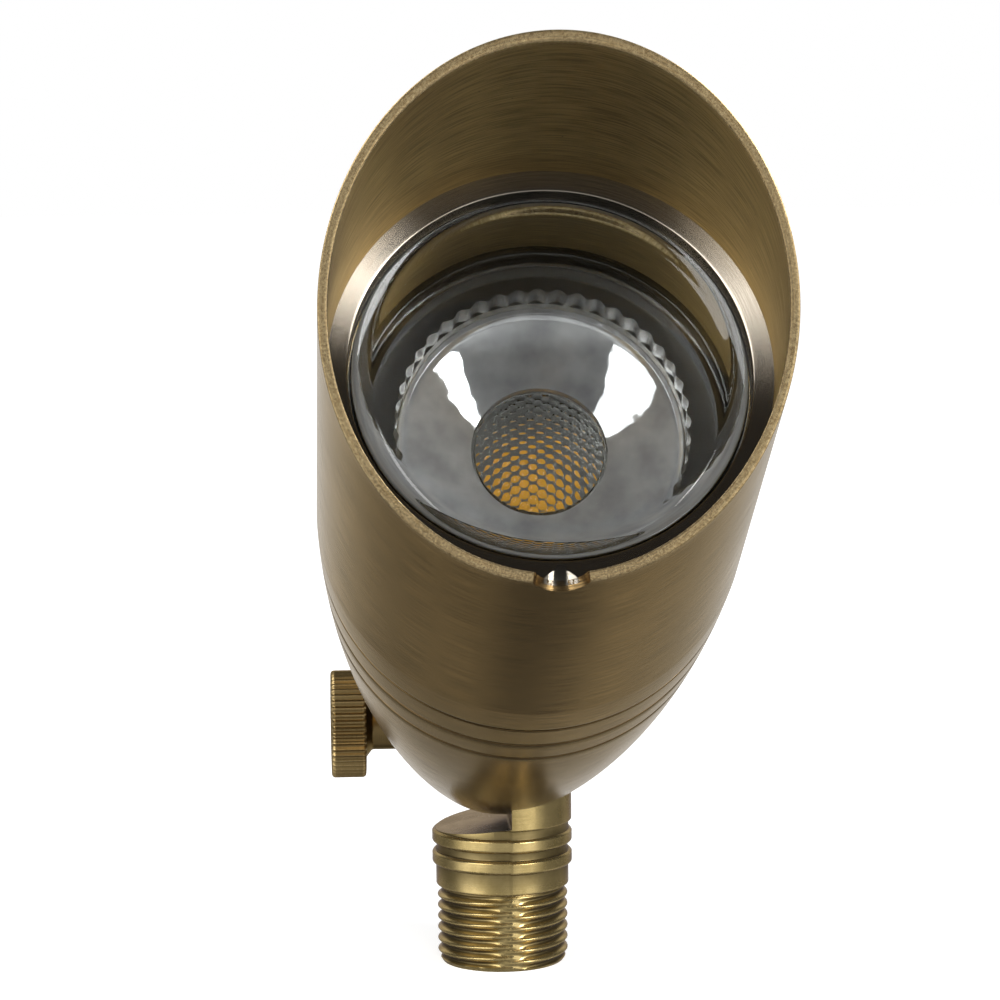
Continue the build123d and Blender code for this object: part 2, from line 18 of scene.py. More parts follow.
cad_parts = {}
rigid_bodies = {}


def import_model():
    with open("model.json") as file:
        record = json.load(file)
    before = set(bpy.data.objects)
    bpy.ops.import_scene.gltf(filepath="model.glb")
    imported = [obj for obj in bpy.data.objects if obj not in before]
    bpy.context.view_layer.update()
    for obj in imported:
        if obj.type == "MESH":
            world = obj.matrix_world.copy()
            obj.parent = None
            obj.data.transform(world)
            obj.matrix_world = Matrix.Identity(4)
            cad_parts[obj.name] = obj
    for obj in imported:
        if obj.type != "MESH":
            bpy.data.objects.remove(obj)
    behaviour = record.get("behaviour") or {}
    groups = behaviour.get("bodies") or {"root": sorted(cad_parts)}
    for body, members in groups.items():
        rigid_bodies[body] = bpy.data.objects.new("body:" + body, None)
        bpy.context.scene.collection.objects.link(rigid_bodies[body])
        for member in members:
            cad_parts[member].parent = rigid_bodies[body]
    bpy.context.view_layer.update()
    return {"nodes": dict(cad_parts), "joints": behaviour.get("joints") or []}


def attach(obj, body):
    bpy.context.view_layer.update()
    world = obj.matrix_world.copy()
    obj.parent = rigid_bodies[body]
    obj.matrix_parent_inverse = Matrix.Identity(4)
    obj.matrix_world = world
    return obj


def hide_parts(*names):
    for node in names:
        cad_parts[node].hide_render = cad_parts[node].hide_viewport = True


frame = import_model()

MM = 0.001
CHART = "Chart"
BARE = "bare"
log = logging.getLogger("spotlight")


def linear(code: str) -> tuple[float, float, float, float]:
    """Linear colour of an sRGB hex code.

    Args:
        code: six hex digits after a hash.
    Returns:
        Red, green, blue and an alpha of 1.
    """
    parts = np.array([int(code[at:at + 2], 16) for at in (1, 3, 5)]) / 255
    low = parts / 12.92
    high = ((parts + 0.055) / 1.055) ** 2.4
    return (*np.where(parts <= 0.04045, low, high).tolist(), 1.0)


def smooth_step(low: float, high: float, value: np.ndarray) -> np.ndarray:
    """Rise from 0 at low to 1 at high along the cubic 3t^2 - 2t^3."""
    t = np.clip((value - low) / (high - low), 0, 1)
    return t * t * (3 - 2 * t)


@dataclass(frozen=True)
class Axes:
    """Where a turned piece stands: an origin in millimetres and three square directions."""

    origin: np.ndarray
    across: np.ndarray
    up: np.ndarray
    along: np.ndarray

    def place(self, x: np.ndarray, y: np.ndarray, s: np.ndarray) -> np.ndarray:
        """Points in the frame of arrays of coordinates along the three directions."""
        return self.origin + x[..., None] * self.across + y[..., None] * self.up + s[..., None] * self.along


class Stand(Enum):
    """The three sets of axes in which pieces are drawn."""

    STEM = "stem"
    HEAD = "head"
    SCREW = "screw"

    def axes(self) -> Axes:
        """Axes of this stand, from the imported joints."""
        joints = {joint["name"]: joint for joint in frame["joints"]}
        pivot = np.array(joints["tilt"]["pos_m"]) / MM
        x, y, z = np.eye(3)
        if self is Stand.STEM:
            return Axes(np.zeros(3), x, y, z)
        if self is Stand.SCREW:
            return Axes(pivot, z, y, -x)
        along = np.array(joints["hood_lift"]["axis"])
        return Axes(pivot, x, np.cross(along, x), along)


@dataclass
class Section:
    """Half section of a turned piece: radii and stations of its points, and how bare each is."""

    r: np.ndarray
    s: np.ndarray
    bare: np.ndarray

    @classmethod
    def rounded(cls, corners: list[tuple], fall: float = 0.45, bends: int = 5) -> "Section":
        """Section through corners, each rounded by an arc that is tangent to its two sides.

        A corner is a radius and a station, to which a rounding and then a bare weight may be added. The
        weight holds over the arc and falls to nothing a little way along each side.

        Args:
            corners: the corners in order, the first and last left sharp.
            fall: distance over which the bare weight falls, in millimetres.
            bends: points on each arc.
        Returns:
            The sampled section.
        """
        full = np.array([tuple(corner) + (0.0,) * (4 - len(corner)) for corner in corners])
        spots = full[:, :2]
        rows = [(*spots[0], full[0, 3])]
        for index in range(1, len(full) - 1):
            here = spots[index]
            back, ahead = spots[index - 1] - here, spots[index + 1] - here
            back_length, ahead_length = np.linalg.norm(back), np.linalg.norm(ahead)
            back, ahead = back / back_length, ahead / ahead_length
            opening = np.arccos(np.clip(back @ ahead, -1, 1))
            radius, bare = full[index, 2:]
            room = 0.45 * min(back_length, ahead_length)
            reach = min(radius / tan(opening / 2), room)
            if reach < 1e-3 or opening > pi - 1e-3:
                rows.append((*here, bare))
                continue
            radius = reach * tan(opening / 2)
            centre = here + (back + ahead) / np.linalg.norm(back + ahead) * radius / sin(opening / 2)
            start, end = here + back * reach, here + ahead * reach
            shoulder = min(fall, room - reach)
            if bare and shoulder > 0.02:
                rows.append((*(start + back * shoulder), 0.0))
            turn = pi - opening
            t = np.linspace(0, 1, bends)[:, None]
            arc = np.sin((1 - t) * turn) * (start - centre) + np.sin(t * turn) * (end - centre)
            rows += [(*spot, bare) for spot in centre + arc / sin(turn)]
            if bare and shoulder > 0.02:
                rows.append((*(end + ahead * shoulder), 0.0))
        rows.append((*spots[-1], full[-1, 3]))
        return cls(*np.array(rows).T)


@dataclass
class Grid:
    """A surface on a grid, whose rows follow a section and whose columns go round an axis and close.

    points is rows x columns x 3 in millimetres, bare is rows x columns, and round_radius is the radius at
    which the map's first coordinate is in true millimetres. Where ring is set the rows close as well.
    """

    points: np.ndarray
    bare: np.ndarray
    round_radius: float
    ring: bool = False

    def mesh(self, name: str) -> bpy.types.Mesh:
        """Mesh of the grid, with its map in millimetres and its bare weights.

        Args:
            name: name of the mesh.
        Returns:
            A mesh in millimetres whose doubled points at the poles are merged.
        """
        rows, columns = self.bare.shape
        bands = rows if self.ring else rows - 1
        low, left = np.meshgrid(np.arange(bands), np.arange(columns), indexing="ij")
        row = np.stack([low, low, low + 1, low + 1], -1).reshape(-1)
        column = np.stack([left, left + 1, left + 1, left], -1).reshape(-1)
        faces = ((row % rows) * columns + column % columns).reshape(-1, 4)
        mesh = bpy.data.meshes.new(name)
        mesh.from_pydata(self.points.reshape(-1, 3), [], faces)
        steps = np.linalg.norm(np.diff(self.points[:, 0], axis=0, append=self.points[:1, 0]), axis=-1)
        length = np.concatenate([[0], np.cumsum(steps)])
        chart = np.stack([column * 2 * pi * self.round_radius / columns, length[row]], -1)
        mesh.uv_layers.new(name=CHART).data.foreach_set("uv", chart.reshape(-1))
        mesh.attributes.new(BARE, "FLOAT", "POINT").data.foreach_set("value", self.bare.reshape(-1))
        work = bmesh.new()
        work.from_mesh(mesh)
        bmesh.ops.remove_doubles(work, verts=work.verts, dist=1e-5)
        work.to_mesh(mesh)
        work.free()
        return mesh


def around(count: int) -> np.ndarray:
    """Angles of the columns of a turned surface, from the across direction towards up."""
    return np.arange(count) * 2 * pi / count


def turned(section: Section, axes: Axes, count: int, ring: bool = False) -> Grid:
    """Surface of revolution: the point at (r, s) goes round as (r cos a, r sin a, s).

    Args:
        section: half section, counter-clockwise with the radius to the right and the axis up.
        axes: where the piece stands.
        count: columns round the axis.
        ring: whether the section closes on itself.
    Returns:
        The grid.
    """
    angle = around(count)
    r = section.r[:, None]
    s = np.broadcast_to(section.s[:, None], (len(section.s), count))
    bare = np.repeat(section.bare[:, None], count, 1)
    return Grid(axes.place(r * np.cos(angle), r * np.sin(angle), s), bare, section.r.max(), ring)


def prism(
    name: str, outline: np.ndarray, axes: Axes, low: float, high: float, bare: float
) -> bpy.types.Mesh:
    """Straight bar: an outline carried along the third direction, with its two ends closed.

    Args:
        name: name of the mesh.
        outline: points in (across, up), counter-clockwise.
        axes: where the bar stands.
        low: where it starts along the third direction.
        high: where it ends.
        bare: bare weight of a face that it cuts.
    Returns:
        The closed mesh in millimetres.
    """
    count = len(outline)
    ends = [axes.place(outline[:, 0], outline[:, 1], np.full(count, level)) for level in (low, high)]
    at = np.arange(count)
    following = (at + 1) % count
    sides = np.stack([at, following, following + count, at + count], -1).tolist()
    mesh = bpy.data.meshes.new(name)
    mesh.from_pydata(np.concatenate(ends), [], sides + [at[::-1].tolist(), (at + count).tolist()])
    mesh.uv_layers.new(name=CHART)
    mesh.attributes.new(BARE, "FLOAT", "POINT").data.foreach_set("value", np.full(2 * count, bare))
    return mesh


def disc_outline(radius: float, count: int = 96) -> np.ndarray:
    """Points of a circle about zero."""
    angle = around(count)
    return radius * np.stack([np.cos(angle), np.sin(angle)], -1)


class Carve(Enum):
    """What a cutter does to a solid."""

    AWAY = "DIFFERENCE"
    WITHIN = "INTERSECT"


def carve(mesh: bpy.types.Mesh, cutters: list[bpy.types.Mesh], how: Carve = Carve.AWAY) -> bpy.types.Mesh:
    """Solid cut by others, one after the other.

    Args:
        mesh: the solid in millimetres.
        cutters: closed meshes, which are used up.
        how: whether what lies in a cutter is taken away or kept.
    Returns:
        The cut solid as a new mesh.
    """
    scene = bpy.context.scene.collection.objects
    subject = bpy.data.objects.new(mesh.name, mesh)
    tools = [bpy.data.objects.new(cutter.name, cutter) for cutter in cutters]
    for item in [subject, *tools]:
        scene.link(item)
    for tool in tools:
        step = subject.modifiers.new(tool.name, "BOOLEAN")
        step.operation = how.value
        step.solver = "MANIFOLD"
        step.object = tool
    graph = bpy.context.evaluated_depsgraph_get()
    done = subject.evaluated_get(graph)
    cut = bpy.data.meshes.new_from_object(done, preserve_all_data_layers=True, depsgraph=graph)
    for item in [subject, *tools]:
        used = item.data
        bpy.data.objects.remove(item)
        bpy.data.meshes.remove(used)
    return cut


def face_places(mesh: bpy.types.Mesh, axes: Axes) -> tuple[np.ndarray, np.ndarray]:
    """Where the middle of each face lies in the half section of a turned piece.

    Args:
        mesh: the piece in millimetres.
        axes: where it stands.
    Returns:
        The radius and the station of each face.
    """
    middles = np.empty(3 * len(mesh.polygons))
    mesh.polygons.foreach_get("center", middles)
    middles = middles.reshape(-1, 3) - axes.origin
    return np.hypot(middles @ axes.across, middles @ axes.up), middles @ axes.along


def show(
    name: str, mesh: bpy.types.Mesh, material: bpy.types.Material, body: str, node: str,
    crease: float = 32.0, lining: tuple[bpy.types.Material, np.ndarray] | None = None,
) -> bpy.types.Object:
    """Finish a piece: bring it to metres, shade it, and have it ride on a body in place of a CAD node.

    Args:
        name: name of the piece.
        mesh: its mesh in millimetres.
        material: its finish.
        body: the CAD body that carries it.
        node: the CAD node that it stands for.
        crease: angle in degrees past which an edge stays sharp.
        lining: a second finish, and which of the faces have it.
    Returns:
        The piece.
    """
    mesh.transform(Matrix.Scale(MM, 4))
    mesh.materials.clear()
    mesh.materials.append(material)
    if lining:
        mesh.materials.append(lining[0])
        mesh.polygons.foreach_set("material_index", lining[1].astype(np.int32))
    mesh.shade_smooth()
    mesh.set_sharp_from_angle(angle=radians(crease))
    piece = bpy.data.objects.new(name, mesh)
    bpy.context.scene.collection.objects.link(piece)
    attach(piece, body)
    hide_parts(node)
    log.info("%s: %d faces, rides on %s", name, len(mesh.polygons), body)
    return piece


def add(tree: bpy.types.NodeTree, kind: str, inputs: dict | None = None, **settings) -> bpy.types.Node:
    """Add a node.

    Args:
        tree: the node tree.
        kind: the node's type, after the words that all shader nodes start with.
        inputs: for each input socket, by name or place, a value, or the socket or node that feeds it. A
            node feeds it by its first output.
        settings: the node's own properties.
    Returns:
        The node.
    """
    node = tree.nodes.new("ShaderNode" + kind)
    for key, value in settings.items():
        setattr(node, key, value)
    for key, value in (inputs or {}).items():
        if isinstance(value, bpy.types.Node):
            value = value.outputs[0]
        if isinstance(value, bpy.types.NodeSocket):
            tree.links.new(value, node.inputs[key])
        else:
            node.inputs[key].default_value = value
    return node


def new_tree(name: str) -> tuple[bpy.types.Material, bpy.types.NodeTree]:
    """A material with an empty node tree.

    Args:
        name: name of the material.
    Returns:
        The material and its tree.
    """
    material = bpy.data.materials.new(name)
    material.use_nodes = True
    material.node_tree.nodes.clear()
    return material, material.node_tree


def close_tree(tree: bpy.types.NodeTree, shader: bpy.types.Node) -> None:
    """Lead a shader to the material's output."""
    add(tree, "OutputMaterial", {"Surface": shader})


@dataclass(frozen=True)
class Brass:
    """Brass that was turned or cast, darkened to an antique finish and lacquered.

    The eye gets a brown satin metal, fine marks where the brush went round, patches of patina, a few dark
    specks, a pale wax bloom in its shadows, and yellow sawn metal where the bare weight is above zero. Where
    it is below zero the colour goes dark: in grooves and inner corners, and as painted shade in the thread's
    roots, on the milled floor and inside the hood. Depths and widths of the marks are in millimetres.
    """

    name: str
    dark: str
    light: str
    bright: str
    roughness: float
    brush_length: float = 7.0
    brush_width: float = 0.16
    brush_share: float = 0.7
    brush_depth: float = 0.0013
    grain: float = 0.3
    grain_depth: float = 0.001
    saw_depth: float = 0.02
    patina: float = 16.0
    anisotropy: float = 0.0
    speck: float = 3.4
    bloom: float = 0.02
    metallic: float = 0.94
    edge: str = "#dcd2bc"
    # Colour of the dark specks, and of dark grooves and painted shade where the bare weight is below zero
    dirt_and_shade: str = "#1c1815"

    def build(self) -> bpy.types.Material:
        """Material of this finish.

        Returns:
            The material, with its nodes in place.
        """
        material, tree = new_tree(self.name)
        place = add(tree, "TexCoord").outputs["Object"]
        chart = add(tree, "UVMap", uv_map=CHART)
        weight = add(tree, "Attribute", attribute_name=BARE).outputs["Fac"]
        bare = add(tree, "Math", {0: weight, 1: 0.0}, operation="MAXIMUM")
        # Below zero the bare weight darkens grooves, and paints shade in thread roots, milled floor and hood
        groove_dark_and_shade = add(tree, "Math", {0: weight, 1: -0.9}, operation="MULTIPLY", use_clamp=True)
        # Brush marks are long round the piece and fine along it
        stretch = (1 / self.brush_length, 1 / self.brush_width, 0)
        brush = add(tree, "VectorMath", {0: chart, 1: stretch}, operation="MULTIPLY")
        brush = add(tree, "TexNoise", {"Vector": brush, "Scale": 1.0, "Detail": 3.0}, noise_dimensions="2D")
        brush = add(tree, "MapRange", {"Value": brush, 1: 0.35, 2: 0.65})
        patch = add(tree, "TexNoise",
                    {"Vector": place, "Scale": 1 / (self.patina * MM), "Detail": 4.0, "Roughness": 0.6})
        patch = add(tree, "MapRange", {"Value": patch, 1: 0.3, 2: 0.7})
        grain = add(tree, "TexNoise",
                    {"Vector": place, "Scale": 1 / (self.grain * MM), "Detail": 2.0, "Roughness": 0.7})
        shade = add(tree, "Mix", {"Factor": self.brush_share, 2: patch, 3: brush})
        shade = add(tree, "Mix", {"Factor": 0.25, 2: shade, 3: grain})
        aged = add(tree, "Mix", {"Factor": shade, 6: linear(self.dark), 7: linear(self.light)},
                   data_type="RGBA").outputs[2]
        # Bare metal breaks up with the grain
        rub = add(tree, "Math", {0: grain, 1: 2.4, 2: -1.2}, operation="MULTIPLY_ADD")
        rub = add(tree, "Math", {0: bare, 1: rub}, operation="ADD")
        rub = add(tree, "Math", {0: bare, 1: rub}, operation="MULTIPLY", use_clamp=True)
        colour = add(tree, "Mix", {"Factor": rub, 6: aged, 7: linear(self.bright)},
                     data_type="RGBA").outputs[2]
        spot = add(tree, "TexVoronoi", {"Vector": place, "Scale": 1 / (self.speck * MM)})
        spot = add(tree, "MapRange", {"Value": spot.outputs["Distance"], 1: 0.02, 2: 0.05, 3: 0.6, 4: 0.0})
        # The dirt specks and the painted shade share one dark colour
        spot = add(tree, "Math", {0: spot, 1: groove_dark_and_shade}, operation="MAXIMUM")
        colour = add(tree, "Mix", {"Factor": spot, 6: colour, 7: linear(self.dirt_and_shade)},
                     data_type="RGBA").outputs[2]
        rough = add(tree, "MapRange", {"Value": shade, 3: self.roughness + 0.05, 4: self.roughness - 0.05})
        rough = add(tree, "Math", {0: rub, 1: 0.06, 2: rough}, operation="MULTIPLY_ADD")
        rough = add(tree, "Math", {0: groove_dark_and_shade, 1: 0.2, 2: rough}, operation="MULTIPLY_ADD")
        metal = add(tree, "Math", {0: bare, 1: -0.25, 2: self.metallic}, operation="MULTIPLY_ADD")
        # Height of the relief in millimetres
        deep = add(tree, "Math", {0: bare, 1: self.saw_depth, 2: self.grain_depth}, operation="MULTIPLY_ADD")
        height = add(tree, "Math", {0: grain, 1: deep}, operation="MULTIPLY")
        height = add(tree, "Math", {0: brush, 1: self.brush_depth, 2: height}, operation="MULTIPLY_ADD")
        relief = add(tree, "Bump", {"Height": height, "Distance": MM, "Strength": 1.0})
        # Marks run round the piece, so light spreads across them
        round_way = add(tree, "Tangent", direction_type="UV_MAP", uv_map=CHART)
        shader = add(tree, "BsdfPrincipled", {
            "Base Color": colour, "Metallic": metal, "Roughness": rough, "Normal": relief,
            "Tangent": round_way, "Specular Tint": linear(self.edge),
            "Anisotropic": self.anisotropy, "Anisotropic Rotation": 0.25,
            "Sheen Weight": self.bloom, "Sheen Roughness": 0.45, "Sheen Tint": linear("#ffffff"),
        })
        close_tree(tree, shader)
        return material


@dataclass(frozen=True)
class Clear:
    """Clear glass or acrylic: polished, with a faint tint and slight unevenness from the mould."""

    name: str
    tint: str
    ior: float
    roughness: float = 0.0
    wave: float = 9.0
    wave_depth: float = 0.0

    def build(self) -> bpy.types.Material:
        """Material of this finish.

        Returns:
            The material, with its nodes in place.
        """
        material, tree = new_tree(self.name)
        place = add(tree, "TexCoord").outputs["Object"]
        swell = add(tree, "TexNoise", {"Vector": place, "Scale": 1 / (self.wave * MM), "Detail": 1.0})
        relief = add(tree, "Bump", {"Height": swell, "Distance": self.wave_depth * MM, "Strength": 1.0})
        shader = add(tree, "BsdfPrincipled", {
            "Base Color": linear(self.tint), "Roughness": self.roughness, "IOR": self.ior,
            "Transmission Weight": 1.0, "Normal": relief,
        })
        close_tree(tree, shader)
        return material


@dataclass(frozen=True)
class Plain:
    """A plain workshop material, mottled and with a fine grain: plated steel, ceramic, rubber, phosphor."""

    name: str
    dark: str
    light: str
    roughness: float
    metallic: float = 0.0
    mottle: float = 3.0
    grain: float = 0.2
    grain_depth: float = 0.003

    def build(self) -> bpy.types.Material:
        """Material of this finish.

        Returns:
            The material, with its nodes in place.
        """
        material, tree = new_tree(self.name)
        place = add(tree, "TexCoord").outputs["Object"]
        patch = add(tree, "TexNoise",
                    {"Vector": place, "Scale": 1 / (self.mottle * MM), "Detail": 3.0})
        grain = add(tree, "TexNoise", {"Vector": place, "Scale": 1 / (self.grain * MM), "Detail": 2.0})
        colour = add(tree, "Mix", {"Factor": patch, 6: linear(self.dark), 7: linear(self.light)},
                     data_type="RGBA").outputs[2]
        rough = add(tree, "MapRange",
                    {"Value": patch, 3: self.roughness - 0.05, 4: self.roughness + 0.05})
        relief = add(tree, "Bump", {"Height": grain, "Distance": self.grain_depth * MM, "Strength": 1.0})
        shader = add(tree, "BsdfPrincipled", {
            "Base Color": colour, "Metallic": self.metallic, "Roughness": rough, "Normal": relief,
        })
        close_tree(tree, shader)
        return material


@dataclass(frozen=True)
class Coated:
    """Clear plastic with a half-bright coat behind: a mirror with a cloudy grey body and faint streaks."""

    name: str
    dark: str
    light: str
    roughness: float
    metallic: float = 0.58
    streak_width: float = 0.4
    streak_length: float = 6.0
    streak_depth: float = 0.0001
    wave: float = 3.0
    wave_depth: float = 0.04
    cloud: float = 4.0

    def build(self) -> bpy.types.Material:
        """Material of this finish.

        Returns:
            The material, with its nodes in place.
        """
        material, tree = new_tree(self.name)
        chart = add(tree, "UVMap", uv_map=CHART)
        stretch = (1 / self.streak_width, 1 / self.streak_length, 0)
        streak = add(tree, "VectorMath", {0: chart, 1: stretch}, operation="MULTIPLY")
        streak = add(tree, "TexNoise", {"Vector": streak, "Scale": 1.0}, noise_dimensions="2D")
        place = add(tree, "TexCoord").outputs["Object"]
        cloud = add(tree, "TexNoise", {"Vector": place, "Scale": 1 / (self.cloud * MM), "Detail": 3.0})
        cloud = add(tree, "MapRange", {"Value": cloud, 1: 0.3, 2: 0.7})
        colour = add(tree, "Mix", {"Factor": cloud, 6: linear(self.dark), 7: linear(self.light)},
                     data_type="RGBA").outputs[2]
        rough = add(tree, "MapRange",
                    {"Value": streak, 1: 0.4, 2: 0.7, 3: self.roughness, 4: self.roughness + 0.03})
        height = add(tree, "TexNoise", {"Vector": place, "Scale": 1 / (self.wave * MM), "Detail": 1.0})
        height = add(tree, "Math", {0: height, 1: self.wave_depth / self.streak_depth, 2: streak},
                     operation="MULTIPLY_ADD")
        relief = add(tree, "Bump", {"Height": height, "Distance": self.streak_depth * MM, "Strength": 1.0})
        shader = add(tree, "BsdfPrincipled", {
            "Base Color": colour, "Metallic": self.metallic, "Roughness": rough, "Normal": relief,
        })
        close_tree(tree, shader)
        return material


@dataclass(frozen=True)
class Ogive:
    """Outline of the head: an arc that leaves the hood with a taper at the crease and meets the ball end."""

    crease: float = 88.5
    taper: float = 1.9
    ball: float = 15.2
    hood: float = 30.0

    @property
    def radius(self) -> float:
        """Radius of the arc through the crease that is tangent to the ball."""
        lean = radians(self.taper)
        return (self.crease**2 + self.hood**2 - self.ball**2) / (
            2 * (self.hood * cos(lean) - self.crease * sin(lean) - self.ball)
        )

    @property
    def centre(self) -> tuple[float, float]:
        """Centre of the arc, as radius and station."""
        lean = radians(self.taper)
        return self.hood - self.radius * cos(lean), self.crease + self.radius * sin(lean)

    @property
    def tangent(self) -> tuple[float, float]:
        """Where the arc runs into the ball."""
        r, s = self.centre
        share = self.ball / hypot(r, s)
        return -r * share, -s * share

    def at(self, station: float) -> float:
        """Radius of the arc at a station."""
        r, s = self.centre
        return r + sqrt(self.radius**2 - (station - s) ** 2)

    def run(self, start: float, end: float, step: float = 2.0) -> list[tuple[float, float]]:
        """Points of the arc from one station to another."""
        count = max(2, int(abs(end - start) / step) + 1)
        return [(self.at(station), station) for station in np.linspace(start, end, count)]


@dataclass
class Hood:
    """Turned hood: tapered skirt, plain barrel, slant-cut mouth, inner lip for the lens, and a drain."""

    finish: bpy.types.Material
    bore_finish: bpy.types.Material
    lip_finish: bpy.types.Material
    ogive: Ogive = field(default_factory=Ogive)
    skirt_end: float = 80.95
    bore: float = 28.1
    inside: float = 28.75
    ledge: float = 136.4
    lip_back: float = 133.5
    lip_opening: float = 26.1
    lip_dish: float = 12.5
    lip_round: float = 0.22
    cut_station: float = 154.5
    cut_angle: float = 29.15
    rim_round: float = 0.22
    rise: float = 3.0
    drain_radius: float = 2.65
    drain_mouth: float = 3.9
    drain_rise: float = 1.4
    drain_bare: float = 0.5
    # How far the inner walls' bare weight is lowered: painted shade
    inside_shade: float = 0.08
    rim_bare: float = 0.55
    wall_rows: int = 25
    columns: int = 360

    def cut(self, r: np.ndarray, angle: np.ndarray) -> np.ndarray:
        """Station of the slant cut: it rises with the height r sin a over the axis."""
        return self.cut_station + r * np.sin(angle) * tan(radians(self.cut_angle))

    def surface(self) -> Grid:
        """The hood's skin, whose walls end at the cut: a row (r, s) of weight w lies at s + w (cut - s).

        Returns:
            The skin as a closed ring.
        """
        hood = self.ogive.hood
        outer = Section.rounded([
            (self.bore, self.skirt_end), (self.ogive.at(self.skirt_end), self.skirt_end, 0.15, 0.1),
            *self.ogive.run(self.skirt_end, self.ogive.crease)[1:-1],
            (hood, self.ogive.crease, 0.25), (hood, self.ogive.crease + self.rise),
        ])
        middle = (self.ledge + self.lip_back) / 2
        inner = Section.rounded([
            (self.inside, self.ledge + 0.6), (self.inside, middle), (self.bore, middle),
            (self.bore, self.skirt_end + 0.6),
        ])
        # Rows of the walls crowd towards the rim
        count = self.wall_rows
        walls = 1 - (1 - np.linspace(0, 1, count + 1)[1:]) ** 1.6
        near = walls * (1 - 1e-3)
        edge = self.rim_round
        bend = edge * (1 - sqrt(0.5))
        flat = np.linspace(hood - edge, self.inside + edge, 5)
        rim_r = np.concatenate([[hood, hood - bend], flat, [self.inside + bend, self.inside]])
        rim_drop = np.concatenate([[edge, bend], np.zeros(5), [bend, edge]])
        rim = np.ones(len(rim_r))
        below, within = np.zeros(len(outer.s)), np.zeros(len(inner.s))
        r = np.concatenate([outer.r, np.full(count, hood), rim_r, np.full(count, self.inside), inner.r])
        base = np.concatenate([
            outer.s, np.full(count, outer.s[-1]), 0 * rim, np.full(count, inner.s[0]), inner.s,
        ])
        weight = np.concatenate([below, near, rim, near[::-1], within])
        drop = np.concatenate([below, edge * walls**8, rim_drop, edge * walls[::-1]**8, within])
        # Painted shade: the inner walls and bore get their bare weight lowered a little, which darkens them
        bare = np.concatenate([
            outer.bare, 0.3 * walls**40, self.rim_bare * rim, 0.5 * walls[::-1] ** 40 - self.inside_shade,
            inner.bare - self.inside_shade,
        ])
        angle = around(self.columns)
        r, base, weight, drop = (part[:, None] for part in (r, base, weight, drop))
        s = base + weight * (self.cut(r, angle) - base) - drop
        axes = Stand.HEAD.axes()
        points = axes.place(r * np.cos(angle), r * np.sin(angle), s)
        return Grid(points, np.repeat(bare[:, None], self.columns, 1), hood, ring=True)

    def drain(self) -> bpy.types.Mesh:
        """Cutter of the drain: a bore from the axis that opens into a cone across the lip.

        Returns:
            The cutter as a closed mesh.
        """
        head = Stand.HEAD.axes()
        hood = self.ogive.hood
        low = self.cut_station - hood * tan(radians(self.cut_angle)) + self.drain_rise
        axes = Axes(head.origin + low * head.along, head.across, head.along, -head.up)
        reach = self.drain_mouth - self.drain_radius
        slope = reach / (hood - self.lip_opening)
        far = hood + 2.0
        section = Section.rounded([
            (0, 0), (self.drain_radius, 0), (self.drain_radius, self.lip_opening, 1.0, 0.7),
            (self.drain_radius + slope * (far - self.lip_opening), far), (0, far),
        ])
        section.bare[:] = self.drain_bare
        return turned(section, axes, 96).mesh("drain")

    def build(self) -> None:
        """Make the hood and put it in place of its node."""
        head = Stand.HEAD.axes()
        mesh = carve(self.surface().mesh("hood_skin"), [self.drain()])
        radius, _ = face_places(mesh, head)
        lining = self.bore_finish, radius < self.inside + 0.02
        show("hood_shell", mesh, self.finish, "hood", "hood", lining=lining)
        # The lip's outer part is sunk in the wall, and its face is a hollow cone
        sunk = (self.inside + self.ogive.hood) / 2
        face_r = np.array([sunk, self.inside, self.lip_opening + 2 * self.lip_round, self.lip_opening])
        face_s = self.ledge + (face_r - self.inside) * tan(radians(self.lip_dish))
        face = list(zip(face_r.tolist(), face_s.tolist()))
        lip = Section.rounded([
            (self.lip_opening, self.lip_back, 0.2, 0.3), (self.bore + 0.2, self.lip_back),
            (sunk, self.lip_back + 1), *face[:-1], (*face[-1], self.lip_round),
            (self.lip_opening, self.lip_back + 0.5),
        ])
        ring = turned(lip, head, self.columns, ring=True).mesh("lip_skin")
        show("hood_lens_lip", carve(ring, [self.drain()]), self.lip_finish, "hood", "hood")


